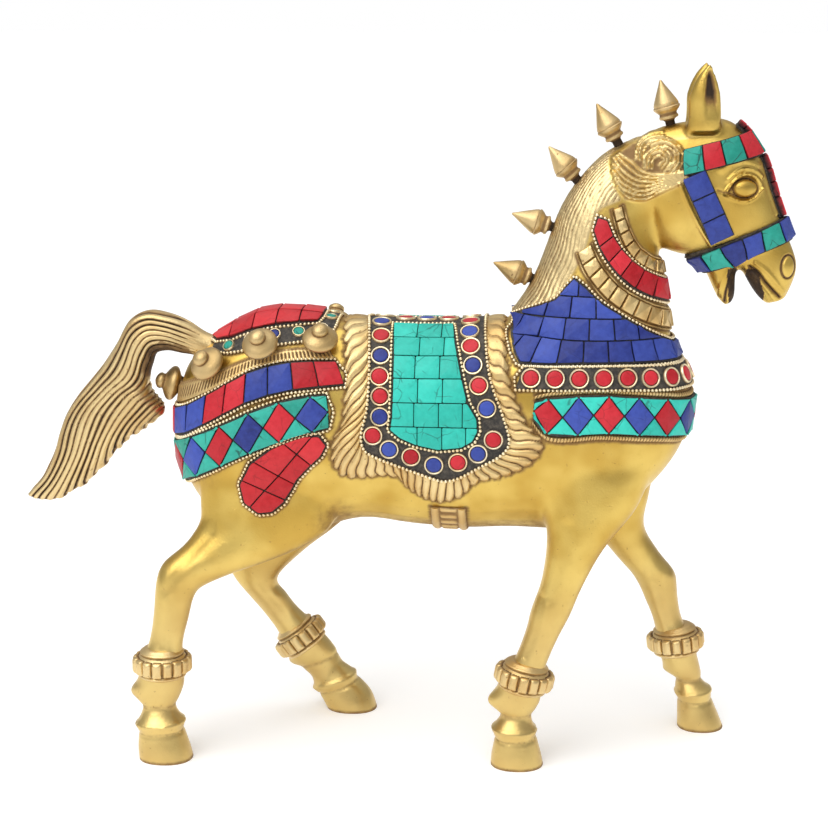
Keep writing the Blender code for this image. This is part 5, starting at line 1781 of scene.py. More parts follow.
    def beads(self, name: str, runs: Sequence[Run]) -> None:
        """Lays bead wires.

        Args:
            name: the piece's name.
            runs: each wire's wrap, line, height over the skin, and whether it is closed.
        """
        heap = Heap()
        for wrap, line, height, closed in runs:
            for place, out, along in self.walk(wrap, line, self.bead_pitch, closed):
                self.trimmings.append(place + out * 0.3)
                worn = self.random.uniform(0.92, 1.06)
                spot = place + out * (height + self.random.uniform(-0.06, 0.06))
                low = np.clip(0.35 - self.bead[0][:, 2] * 0.9, 0, 0.8)
                heap.stamp(self.bead, self.stand(spot, out, along, worn), hollow=low)
        self.statue.hand_over(heap.build(name), self.statue.finishes.bead, "carved_brass",
                              smooth=60)

    def collets(self, name: str, wrap: Wrap, places: Sequence[tuple[Pair, Colour]],
                radius: float, height: float) -> None:
        """Sets round stones in rings.

        Args:
            name: the start of the pieces' names.
            wrap: how the drawing is laid.
            places: each ring's middle and its stone's colour.
            radius: the rings' outer radius.
            height: of their foot over the skin.
        """
        rings, stones = Heap(), {}
        for (a, b), colour in places:
            place, out = wrap.smooth_spot(a, b)
            spot = place + out * height
            along = self.stray()
            rings.stamp(self.ring, self.stand(spot, out, along, radius, 1.0),
                        hollow=np.clip(0.9 - self.ring[0][:, 2] * 1.1, 0, 1))
            heap = stones.setdefault(colour, Heap())
            size = radius * self.random.uniform(0.95, 1.02)
            lean = (out + along * 0.05).normalized()
            heap.stamp(self.round_stone, self.stand(spot, lean, along, size,
                                                    self.random.uniform(0.9, 1.1)),
                       tone=self.random.random(),
                       rim=np.clip(0.8 - self.round_stone[0][:, 2], 0, 1))
        self.statue.hand_over(rings.build(name + "_rings"), self.statue.finishes.bead,
                              "carved_brass", smooth=50)
        for colour, heap in stones.items():
            self.statue.hand_over(heap.build(f"{name}_{colour.value}"),
                                  self.statue.finishes.stones[colour], colour.value, smooth=50)

    def bed(self, name: str, wrap: Wrap, outline: Sequence[Pair], height: float,
            replaces: Sequence[str]) -> None:
        """Lays a bed of resin inside an outline.

        Args:
            name: the piece's name.
            wrap: how the drawing is laid.
            outline: the closed outline in the drawing.
            height: of the bed over the skin.
            replaces: the CAD nodes that it stands for.
        """
        columns, rows = (np.arange(min(axis) + self.bed_pitch, max(axis), self.bed_pitch)
                         for axis in zip(*outline))
        cells = cells_of(split(pairs(outline), self.bed_pitch), rows, columns)
        corners: dict[Pair, int] = {}
        faces = [[corners.setdefault((round(a, 3), round(b, 3)), len(corners))
                  for a, b in one_way(cell)] for cell in cells]
        shell, rim = slab_faces(faces, len(corners))
        spots = [wrap.smooth_spot(a, b) for a, b in corners]
        top = [p + n * (height - (self.bed_round if i in rim else 0))
               for i, (p, n) in enumerate(spots)]
        heap = Heap()
        heap.add([*top, *(p - n * self.bed_sunk for p, n in spots)], shell)
        self.statue.hand_over(heap.build(name), self.statue.finishes.resin, "resin_bed", replaces,
                              50)

    def quilt(self, name: str, wrap: Wrap, one: Sequence[Pair], other: Sequence[Pair],
              across: int, shape: Callable[[float, float], Touch],
              replaces: Sequence[str] = (), material: bpy.types.Material | None = None,
              slot: str = "carved_brass") -> None:
        """slot: the slot of its finish, passed on to Statue.hand_over.

        Args:
            name: the piece's name.
            wrap: how the drawing is laid.
            one: the points of one edge.
            other: the same number of points of the other edge.
            across: steps from edge to edge.
            shape: gives, for the share along and across, the height over the skin, the brown in
                the hollows, and how far the point is moved past the other edge.
            replaces: the CAD nodes that it stands for.
            material: its finish, carved brass where it is left out.
            slot: the record's slot of its finish.
        """
        top, foot, brown = [], [], []
        last = len(one) - 1
        for k, (p, q) in enumerate(zip(one, other)):
            reach = math.dist(p, q)
            for j in range(across + 1):
                height, hollow, past = shape(k / last, j / across)
                t = j / across + past / max(reach, 1e-6)
                place, out = wrap.smooth_spot(p[0] + (q[0] - p[0]) * t, p[1] + (q[1] - p[1]) * t)
                top.append(place + out * height)
                foot.append(place - out * self.slab_sunk)
                brown.append(hollow)
        w = across + 1
        self.trimmings += [*top[::3 * w], *top[across::3 * w]]
        faces = [[k * w + j, k * w + j + 1, (k + 1) * w + j + 1, (k + 1) * w + j]
                 for k in range(last) for j in range(across)]
        shell, _ = slab_faces(faces, len(top))
        heap = Heap()
        heap.add([*top, *foot], shell, hollow=[*brown, *([0.9] * len(top))])
        self.statue.hand_over(heap.build(name), material or self.statue.finishes.carved, slot,
                              replaces, 60)


# Trappings.

ROLL = 40.0      # how tightly the drawings on the body are rolled, as a radius
DEGREES = 180 / math.pi      # the roll at which a drawing is in degrees
STONE_FOOT, STONE_TOP, DIAMOND_TOP = 1.2, 3.0, 2.9      # over the skin
FIELD_BED = 1.7
FIELD_MARGIN, BAND_MARGIN = 0.3, 0.4      # how far a bed reaches past its stones
STRIP_STEPS = 4                           # across a carved strip
C, P, L, T, D = Colour


def round_body(skin: Skin) -> Rolled:
    """A drawing rolled round the body from its back: x, and the way round from the ridge."""
    return Rolled(skin, (0, 0, 170.0), (1, 0, 0), (0, 0, 1), ROLL)


def upright_roll(skin: Skin, x: float, facing: int, roll: float = ROLL) -> Rolled:
    """A drawing rolled round an upright line at x, its middle facing fore (1) or aft (-1)."""
    return Rolled(skin, (x, 0, 0), (0, 0, 1), (facing, 0, 0), roll, upright=True)


@dataclass
class Saddle:
    """The blanket with its pleated fringe, two turquoise fields, and rings round them."""

    blanket_edge: Path = (
        (-34, 0), (-32.5, 12), (-31, 25), (-30.5, 38), (-32, 55), (-36, 63), (-37, 75), (-32, 83),
        (-22, 84.5), (-11, 83), (-4, 84), (0, 89.5), (8, 94.5), (16, 96.5), (26, 92.5), (33, 85.5),
        (46, 82), (57, 76.5), (63.5, 69.5), (65, 62), (57, 52), (51.5, 40), (48, 30), (46, 15),
        (45, 0))
    border_edge: Path = (
        (-22.5, 0), (-20.5, 13), (-19.2, 27), (-19.2, 37), (-20, 48), (-22.5, 59), (-21.5, 68),
        (-16, 72.5), (-5, 77), (4, 80.5), (12, 83.3), (18, 84.5), (25, 82.5), (35, 76.5),
        (44, 71), (48.5, 65.5), (49, 59.5), (47, 52), (44.5, 44.5), (41.5, 37.5), (39, 30),
        (37.5, 22), (36.5, 12), (36, 0))
    turquoise: Path = (
        (-9, 8), (20.5, 8), (22, 18), (24.3, 26.5), (27, 36), (29, 43), (33.5, 50.5), (34, 57),
        (31.5, 62.5), (26, 66), (15, 67.5), (4, 65), (-3.5, 61.5), (-8.5, 57), (-7.5, 50),
        (-7.2, 36), (-7.4, 24))
    rows: tuple[float, ...] = (16, 23.6, 32.5, 43, 55)
    columns: tuple[float, ...] = (4, 16, 27.5)
    stagger: float = 1.7      # between the joints of one course and the next
    rings: Path = (
        (-15.2, 6.2), (-14.4, 14.9), (-13.9, 23.6), (-14, 31.8), (-13.4, 40.2), (-13.4, 50),
        (-16.8, 60.3), (-8.9, 67.9), (1.8, 71.9), (12.9, 76), (24.5, 74.2), (34.2, 69.2),
        (41.6, 61.2), (38.3, 45.2), (34.3, 35.2), (31.2, 27), (29.8, 19.4), (28.9, 12.6),
        (28.6, 5.2))
    ring_colours: tuple[Colour, ...] = (L, C, L, C, C, L, C, L, C, L, C, L, C, L, C, L, C, L, C)
    ridge_rings: Path = ((-4, 0), (6.5, 0), (17.5, 0))
    corners: tuple[tuple[int, int], ...] = ((0, 0), (6, 5), (10, 8), (13, 11), (19, 15), (24, 23))
    corner_steps: tuple[int, ...] = (125, 75, 60, 110, 115)
    pleats: int = 46
    bed_height: float = 2.4
    bead_height: float = 2.7
    stone_top: float = 3.9
    grout: float = 0.14
    ring_radius: float = 4.75
    sunk: float = 0.5             # how far the stones' feet go into the bed
    wire_margin: float = 1.3      # from the turquoise field to the bead wire round it
    fringe_steps: int = 14
    bed_steps: int = 60
    wire_steps: int = 80

    def fringe(self, s: float, t: float) -> Touch:
        """The carved fringe: slanting pleats that open out under the saddle.

        Args:
            s: the share of the way along.
            t: the share of the way across.

        Returns:
            The height over the skin, the brown, and the shift past the edge.
        """
        slant = math.tanh((0.53 - s) * 9)
        phase = self.pleats * s - slant * (t + 0.16 * math.sin(2 * math.pi * t))
        u = phase - math.floor(phase)
        crest = math.sin(math.pi * u ** 1.25) ** 0.8
        flat = 1 - min(1.0, max(0.0, (min(s, 1 - s) - 0.03) / 0.12))
        fine = 0.5 + 0.5 * math.cos(2 * math.pi * phase * 3)
        depth = 1.25 * (1 - 0.55 * flat)
        body = 1.3 + 0.9 * math.sin(math.pi * min(1.0, 0.15 + t * 0.85)) ** 0.8
        rim = 1.0 if t < 0.85 else max(0.25, 1 - (t - 0.85) * 4)
        height = (body + depth * (crest - 0.45) - 0.1 * fine * crest) * rim
        hollow = max(0.0, 1 - crest * 2.1) * 0.85 * (1 - 0.5 * flat) + 0.08 * fine
        past = t ** 2 * (1.7 * crest - 1.0)
        return height, min(1.0, hollow + (0.35 if t > 0.96 else 0)), past

    def build(self, setter: Setter, skin: Skin) -> None:
        """Lays fringe, beds, stones, rings and bead wires on both flanks.

        Args:
            setter: sets the stones, beads and beds.
            skin: the castings' skin.
        """
        wrap = round_body(skin)
        outer: Line = []
        inner: Line = []
        for (a, b), (c, d), steps in zip(self.corners, self.corners[1:], self.corner_steps):
            outer += evenly(self.blanket_edge[a:c + 1], steps)[:-1]
            inner += evenly(self.border_edge[b:d + 1], steps)[:-1]
        outer.append(self.blanket_edge[-1])
        inner.append(self.border_edge[-1])
        for flank, sign, nodes in (("right", 1, ("saddle_blanket",)), ("left", -1, ())):
            setter.quilt(f"blanket_fringe_{flank}", wrap, flipped(inner, sign),
                         flipped(outer, sign), self.fringe_steps, self.fringe, nodes)
        border = mirrored_outline(evenly(self.border_edge, self.bed_steps))
        setter.bed("saddle_bed", wrap, border, self.bed_height, ("saddle_ring_border",))
        cells = courses(self.turquoise, self.rows,
                        lambda level: [a + self.stagger * (level % 2 - 0.5)
                                       for a in self.columns])
        wire = evenly(self.border_edge, self.wire_steps)
        ring = widened(self.turquoise, self.wire_margin)
        places, runs = [], []
        for flank, sign in (("right", 1), ("left", -1)):
            setter.stones(f"saddle_{flank}", wrap, [(flipped(cell, sign), T) for cell in cells],
                          self.bed_height - self.sunk, self.stone_top,
                          (f"saddle_turquoise_{flank}",), self.grout)
            places += zip(flipped(self.rings, sign), self.ring_colours)
            runs += [(wrap, flipped(wire, sign), self.bead_height, False),
                     (wrap, flipped(ring, sign), self.bead_height, True)]
        places += zip(self.ridge_rings, (C, L, C))
        setter.collets("saddle_collet", wrap, places, self.ring_radius, self.bed_height)
        setter.beads("saddle_beads", runs)


@dataclass
class ChestFields:
    """The lapis field round the chest, the row of round stones and the row of diamonds."""

    upper: Path = (
        (0, 215), (9, 215.5), (20, 219.5), (32, 225), (44.5, 231), (58, 236.5), (69.5, 243),
        (80, 247), (86, 242.5), (91.5, 236.5), (104, 232), (118, 227.5))
    lower: Path = (
        (0, 206.5), (47, 208), (70, 208), (88, 207.2), (97.5, 207.2), (105, 217))
    rows: tuple[float, ...] = (218.3, 228.4, 238.6)
    course_middles: tuple[float, ...] = (212.5, 223.3, 233.5, 242.0)
    stone_width: float = 11.4
    ring_band: Stations = (
        (0, 205, 194.3), (20, 205.2, 194.6), (47, 206.3, 195.7),
        (79, 206, 195.5), (96, 205.6, 195.3))
    ring_count: int = 17
    ring_bed: float = 1.8
    ring_radius: float = 4.8
    axis_x: float = 88.0
    band_steps: int = 60
    wire_margin: float = 1.3      # from the lapis field to the bead wire round it
    bead_height: float = 1.5
    strips: tuple[tuple[str, int, float, float], ...] = (      # edge, its lines beyond the band
        ("upper", 0, 3.4, 0.9), ("lower", 1, 0.9, 3.6))
    strip_steps: int = 700
    ribs: tuple[int, float] = (120, 1.3)      # how many, how high
    diamond_band: Stations = (
        (0, 188, 170.5), (14, 188.5, 171), (29, 190.8, 173.2),
        (57, 193, 175.2), (82, 191.6, 174), (89.5, 189.5, 182))
    diamonds: int = 13

    def joints(self, wrap: Wrap, level: int) -> list[float]:
        """The places of a course's upright joints, a stone's width apart on the skin.

        Args:
            wrap: how the drawing is laid.
            level: the course's number, from below.

        Returns:
            The places.
        """
        places = np.linspace(0, self.upper[-1][0], 80)
        reach = running([wrap.spot(float(a), self.course_middles[level])[0] for a in places])
        first = self.stone_width * (0.5 if level % 2 else 1.0)
        half = [float(a) for a in np.interp(np.arange(first, reach[-1] - 3, self.stone_width),
                                            reach, places)]
        return [-a for a in reversed(half)] + ([] if level % 2 else [0.0]) + half

    def build(self, setter: Setter, skin: Skin) -> None:
        """Lays the three fields with their bead wires and carved strips.

        Args:
            setter: sets the stones, beads and beds.
            skin: the castings' skin.
        """
        wrap = upright_roll(skin, self.axis_x, 1)
        outline = mirrored_outline([*self.upper, *reversed(self.lower)], 0)
        cells = [cell for half in cells_of(outline, (), (0.0,))
                 for cell in courses(half, self.rows, lambda level: self.joints(wrap, level))]
        setter.bed("chest_lapis_bed", wrap, widened(outline, BAND_MARGIN), FIELD_BED,
                   ("chest_lapis_field",))
        setter.stones("chest_mosaic", wrap, [(cell, L) for cell in cells], STONE_FOOT, STONE_TOP)
        rows = band_rows(self.ring_band, wrap, self.band_steps)
        setter.bed("chest_ring_bed", wrap, band_outline(rows, 0.0), self.ring_bed,
                   ("chest_ring_band",))
        middles = band_rows(self.ring_band, wrap, 2 * self.ring_count)[1::2]
        setter.collets("chest_collet", wrap, [((a, (u + l) / 2), C) for a, u, l in middles],
                       self.ring_radius, self.ring_bed)
        fine = band_rows(self.diamond_band, wrap, self.band_steps)
        setter.bed("chest_diamond_bed", wrap, band_outline(fine, BAND_MARGIN), FIELD_BED,
                   ("chest_diamond_band",))
        setter.stones("chest_diamonds", wrap,
                      diamonds(self.diamond_band, wrap, self.diamonds, (C, L), T), STONE_FOOT,
                      DIAMOND_TOP)
        setter.beads("chest_beads", [
            (wrap, band_loop(rows, 0.2, 0.3, 1.4), self.bead_height, True),
            (wrap, widened(outline, self.wire_margin), self.bead_height, True)])
        for name, edge, near, far in self.strips:
            one, other = (evenly(edges(fine, reach, reach)[edge], self.strip_steps)
                          for reach in (near, far))
            setter.quilt(f"chest_strip_{name}", wrap, one, other, STRIP_STEPS, ribbed(*self.ribs))


def ribbed(count: int, height: float, slant: float = 0.6) -> Callable[[float, float], Touch]:
    """The shape of a strip with ribs across it.

    Args:
        count: its number of ribs.
        height: of the ribs over the skin.
        slant: how far a rib leans, in ribs.

    Returns:
        The shape, for Setter.quilt.
    """
    def shape(s: float, t: float) -> Touch:
        """Height, brown and no shift.

        Args:
            s: the share of the way along.
            t: the share of the way across.

        Returns:
            The height over the skin, the brown, and the shift past the edge.
        """
        wave = abs(math.sin(math.pi * (count * s + slant * t)))
        rim = math.sin(math.pi * min(1, max(0, t))) ** 0.5
        return (0.25 + height * (0.35 + 0.65 * wave ** 0.6) * (0.3 + 0.7 * rim),
                max(0.0, 1 - wave * 1.6) * 0.9 + 0.25 * (1 - rim), 0.0)
    return shape


def diamonds(stations: Stations, wrap: Wrap, count: int,
             colours: Sequence[Colour], between: Colour) -> list[tuple[Cell, Colour]]:
    """A row of diamonds with triangles between them.

    Args:
        stations: the band's edges, as for band_rows.
        wrap: how the drawing is laid.
        count: the number of diamonds.
        colours: the diamonds' colours in turn, from the middle one outwards.
        between: the triangles' colour.

    Returns:
        Each cell and its colour.
    """
    rows = band_rows(stations, wrap, 2 * count)
    top, foot = edges(rows)
    middle = [(a, (u + l) / 2) for a, u, l in rows]
    out: list[tuple[Cell, Colour]] = []
    for i in range(1, 2 * count, 2):
        colour = colours[abs((i - 1) // 2 - count // 2) % len(colours)]
        out.append(([top[i], middle[i - 1], foot[i], middle[i + 1]], colour))
        if i + 2 < 2 * count:
            out.append(([top[i], middle[i + 1], top[i + 2]], between))
            out.append(([foot[i], foot[i + 2], middle[i + 1]], between))
    for end, beside in ((0, 1), (2 * count, 2 * count - 1)):
        for line in (top, foot):
            out.append(([line[end], middle[end], line[beside]], between))
    return out


@dataclass
class Collars:
    """The coral collar and the two collars of brass squares, round the throat."""

    coral: Path = (
        (0, 239.6), (8, 241.3), (17, 245.3), (24.5, 250.8), (31.5, 257.8), (37, 265),
        (40.8, 272.5))
    upper: Path = (
        (0, 250.6), (9, 252.4), (16, 256.3), (21, 261), (24.5, 267), (27, 273), (29.3, 281))
    lower: Path = (
        (0, 225.6), (9, 227.3), (17, 230.6), (25, 235), (32.5, 240), (39.5, 246.5), (45.5, 253.3),
        (50.5, 261.5))
    axis_x: float = 92.0
    roll: float = 25.0
    upper_size: tuple[float, int] = (4.0, 15)      # half width, number of squares
    lower_size: tuple[float, int] = (5.1, 19)
    coral_half: float = 5.4
    coral_tip: Pair = (2.2, 4.2)
    stone_half: float = 5.1
    stone_count: int = 13
    stone_top: float = 3.1
    wire_half: float = 6.1
    wire_tip: Pair = (0.9, 0.6)
    steps: int = 60
    lip_steps: int = 500
    cushion: Path = ((0.2, -0.3), (0.22, 1.0), (0.6, 1.75), (1.5, 2.1))      # inset, height

    def squares(self, setter: Setter, wrap: Wrap, name: str, line: Path, half: float,
                count: int) -> None:
        """Sets a row of cushion-topped brass squares between two carved lips.

        Args:
            setter: sets the stones, beads and beds.
            wrap: how the drawing is laid.
            name: the CAD node that they stand for.
            line: one half of the row's middle line, from the front.
            half: half of the row's width.
            count: the number of squares.
        """
        whole = both_ways(line)
        heap = Heap()
        for cell in strip(whole, half - 0.75, count):
            setter.stone(heap, wrap, one_way(cell), self.cushion, 0.05, 0.12)
        obj = heap.build(name + "_squares")
        rim = np.concatenate(heap.paint["rim"])
        paint_points(obj.data, "hollow", np.clip(rim * 1.2 - 0.55, 0, 1))
        setter.statue.hand_over(obj, setter.statue.finishes.carved, "carved_brass", (name,))
        setter.trimmings += [Vector(p) for p in np.concatenate(heap.points)[::7]]
        for k, shift in enumerate((half, -half), start=1):
            one, other = (offset_line(whole, shift + reach, self.lip_steps)
                          for reach in (-0.6, 0.6))
            setter.quilt(f"{name}_lip_{k}", wrap, one, other, STRIP_STEPS, ribbed(170, 1.1, 1.2))

    def build(self, setter: Setter, skin: Skin) -> None:
        """Lays the three collars.

        Args:
            setter: sets the stones, beads and beds.
            skin: the castings' skin.
        """
        wrap = upright_roll(skin, self.axis_x, 1, self.roll)
        for name, line, size in (("upper", self.upper, self.upper_size),
                                 ("lower", self.lower, self.lower_size)):
            self.squares(setter, wrap, f"{name}_square_collar", line, *size)
        whole = both_ways(self.coral)
        left, right = (offset_line(whole, shift, self.steps)
                       for shift in (self.coral_half, -self.coral_half))
        x, z = ((p + q) / 2 + more for p, q, more in zip(left[-1], right[-1], self.coral_tip))
        setter.bed("coral_collar_bed", wrap, [*right, (x, z), *reversed(left), (-x, z)], FIELD_BED,
                   ("coral_collar",))
        cells = strip(whole, self.stone_half, self.stone_count)
        cells[0].insert(1, (0.3 - x, z - 0.7))
        cells[-1].insert(3, (x - 0.3, z - 0.7))
        setter.stones("collar_stones", wrap, [(cell, C) for cell in cells], STONE_FOOT,
                      self.stone_top)
        x, z = x + self.wire_tip[0], z + self.wire_tip[1]
        edge = [*offset_line(whole, -self.wire_half, self.steps), (x, z),
                *reversed(offset_line(whole, self.wire_half, self.steps)), (-x, z)]
        setter.beads("collar_beads", [(wrap, edge, 1.2, True)])


@dataclass
class Croup:
    """The fields on the croup and round the breech, and the turned knobs."""

    crest: Path = (
        (-99, 0), (-98.5, 5), (-95, 12), (-88, 15), (-73, 14.2), (-58, 12.5), (-46, 10.5),
        (-44.5, 6), (-44.5, 0))
    crest_border: Path = (
        (-97.8, 15), (-92, 20.5), (-84, 22.3), (-72, 22), (-56, 20.5), (-42, 17.5), (-37.5, 12),
        (-36.5, 0))
    crest_rings: Path = (
        (-88.5, 18.4), (-77.8, 18.3), (-66, 17.6), (-54.5, 16.2), (-43.5, 13.6), (-40.6, 5))
    carved_band: Stations = (
        (0, 191, 181), (12, 192, 182.2), (22, 195.5, 185.5),
        (32, 199.5, 190.8), (44, 204.5, 197.8), (58, 208.6, 203.4),
        (76, 211.6, 206.4), (98, 213, 207.6))
    tile_band: Stations = (
        (0, 178.5, 165.5), (12, 179.5, 166.5), (21, 181.7, 168.2),
        (31, 187.8, 174), (42, 194.8, 180.8), (55, 201, 187.4),
        (72, 204.8, 192.4), (87, 206, 194.6), (98, 206, 196))
    tile_colours: tuple[Colour, ...] = (C, C, L, L, C, C, L, L, C, C)
    diamond_band: Stations = (
        (0, 163, 143), (12, 163.4, 143.6), (20, 164.8, 145.5),
        (32.5, 171, 151), (46.5, 178, 158.5), (61, 184.2, 164.6),
        (78, 189.2, 170.8), (92, 191.2, 175.6))
    lobe: Path = (
        (-50, 171.5), (-43, 171.5), (-39.5, 167), (-42.5, 161.5), (-48.5, 156), (-54, 150),
        (-57.5, 143.5), (-61, 137.5), (-66.5, 132.8), (-73, 132), (-80, 137), (-82, 146),
        (-76.5, 157), (-66, 165), (-57.5, 169))
    lobe_cuts: tuple[tuple[Pair, Pair], ...] = (
        ((-77, 135), (-51.8, 165)), ((-80.4, 148.3), (-60.8, 139.3)),
        ((-74, 158), (-52.9, 146.4)), ((-60, 168), (-43.8, 154.8)))
    knob_profile: Path = (
        (-4, 4.3), (1.0, 4.4), (1.9, 4.6), (2.8, 6.2), (3.9, 8.1), (5.0, 8.8), (6.2, 8.7),
        (7.4, 7.8), (8.6, 6.0), (9.6, 4.2), (10.2, 3.6), (10.8, 3.9), (11.6, 4.1), (12.6, 3.7),
        (13.5, 2.5), (14.1, 1.0))
    knob_row: Path = ((-43.5, 21.2), (-71.5, 23.2), (-96.5, 26.6))
    knob_leans: tuple[float, ...] = (0.5, 0.25, 0.15)
    rear_knob_z: float = 187.5
    diamonds: int = 13
    ring_colours: tuple[Colour, ...] = (D, D, L, D, L, D)
    ring_bed: float = 1.2
    ring_radius: float = 3.1
    crest_joints: tuple[tuple[float, ...], tuple[float, ...]] = ((-5.5, 5.5), (-88, -77, -66, -55))
    crest_bed: float = 1.8
    crest_top: float = 3.2
    axis_x: float = -70.0
    band_steps: int = 70
    carved_steps: tuple[int, int] = (500, 8)      # along, across
    carved_ribs: int = 110

    def bands(self, setter: Setter, breech: Wrap) -> list[Run]:
        """Lays the bands round the breech.

        Args:
            setter: sets them.
            breech: how their drawing is laid.

        Returns:
            The bead wires that go with them.
        """
        runs = []
        for name, stations in (("breech_tile", self.tile_band),
                               ("breech_diamond", self.diamond_band)):
            rows = band_rows(stations, breech, self.band_steps)
            setter.bed(f"{name}_bed", breech, band_outline(rows, BAND_MARGIN), FIELD_BED,
                       (f"{name}_band",))
            runs.append((breech, band_loop(rows, 1.25, 1.25, 1.6), 1.4, True))
        count = 2 * len(self.tile_colours) - 1
        tiles = quads(*edges(band_rows(self.tile_band, breech, count)))
        colours = [self.tile_colours[abs(k - count // 2)] for k in range(count)]
        setter.stones("breech_tiles", breech, list(zip(tiles, colours)), STONE_FOOT, STONE_TOP)
        setter.stones("breech_diamonds", breech,
                      diamonds(self.diamond_band, breech, self.diamonds, (L, C), D), STONE_FOOT,
                      DIAMOND_TOP)
        along, across = self.carved_steps
        setter.quilt("croup_carved_strip", breech,
                     *edges(band_rows(self.carved_band, breech, along)), across, self.carving,
                     ("croup_carved_band",))
        return runs

    def carving(self, s: float, t: float) -> Touch:
        """The carved strip: fine upright ribs between two lips.

        Args:
            s: the share of the way along.
            t: the share of the way across.

        Returns:
            The height over the skin, the brown, and the shift past the edge.
        """
        wave = abs(math.sin(math.pi * self.carved_ribs * s))
        ribs = 1.0 if 0.35 < t < 0.85 else 0.15
        lip = 0.5 * math.exp(-((t - 0.25) / 0.08) ** 2) + 0.5 * math.exp(-((t - 0.92) / 0.07) ** 2)
        return (0.9 + lip + 0.35 * wave * ribs,
                min(1.0, (1 - wave) * 0.9 * ribs + 0.3 * (t < 0.15) + 0.12), 0.0)

    def knobs(self, setter: Setter, croup: Wrap, breech: Wrap) -> None:
        """Turns the knobs and stands them on the croup.

        Args:
            setter: sets the stones, beads and beds.
            croup: how the croup's drawing is laid.
            breech: how the breech's drawing is laid.
        """
        spots = [("rear", breech.smooth_spot(0, self.rear_knob_z), (0, -0.3, 0.1))]
        spots += [(f"{side_name}_{k}", croup.smooth_spot(a, sign * b), (0, 0, lean))
                  for k, ((a, b), lean) in enumerate(zip(self.knob_row, self.knob_leans), start=1)
                  for side_name, sign in (("right", 1), ("left", -1))]
        pattern = Bench.turned(self.knob_profile, 40)
        height = pattern[0][:, 2]
        brown = np.maximum(1 - soft_step(height, 1.2, 3.2), 0.75 * hump(height - 10.2, 0.55))
        for name, (place, out), lean in spots:
            setter.plant(f"knob_{name}_turned", pattern, place, (out + Vector(lean)).normalized(),
                         brown, f"knob_{name}")

    def build(self, setter: Setter, skin: Skin) -> None:
        """Lays the crest, its border, the bands and the thigh lobes, and stands the knobs.

        Args:
            setter: sets the stones, beads and beds.
            skin: the castings' skin.
        """
        croup = round_body(skin)
        breech = upright_roll(skin, self.axis_x, -1)
        crest = mirrored_outline(self.crest)
        setter.bed("croup_crest_bed", croup, widened(crest, FIELD_MARGIN), self.crest_bed,
                   ("croup_coral_crest",))
        cells = cells_of(crest, *self.crest_joints)
        setter.stones("croup_crest", croup, [(cell, P) for cell in cells], STONE_FOOT,
                      self.crest_top)
        setter.bed("croup_ring_bed", croup, mirrored_outline(self.crest_border), self.ring_bed,
                   ("croup_ring_border",))
        places, runs = [], [(croup, widened(crest, 1.1), 1.5, True)]
        for sign in (1, -1):
            places += zip(flipped(self.crest_rings, sign), self.ring_colours)
            runs.append((croup, flipped(evenly(self.crest_border, 40), sign), 0.9, False))
        setter.collets("croup_collet", croup, places, self.ring_radius, self.ring_bed)
        runs += self.bands(setter, breech)
        cells = cells_of(self.lobe, cuts=self.lobe_cuts)
        for flank in Flank:
            wrap, name = FromSide(skin, flank), flank.name.lower()
            setter.bed(f"thigh_lobe_bed_{name}", wrap, widened(self.lobe, FIELD_MARGIN),
                       FIELD_BED, (f"thigh_lobe_{name}",))
            setter.stones(f"thigh_lobe_stones_{name}", wrap, [(cell, P) for cell in cells],
                          STONE_FOOT, STONE_TOP)
            runs.append((wrap, widened(self.lobe, 1.2), 1.1, True))
        setter.beads("croup_beads", runs)
        self.knobs(setter, croup, breech)


Strap = tuple[Pair, float, float, float, int]      # middle, slope, half width, reach, tiles


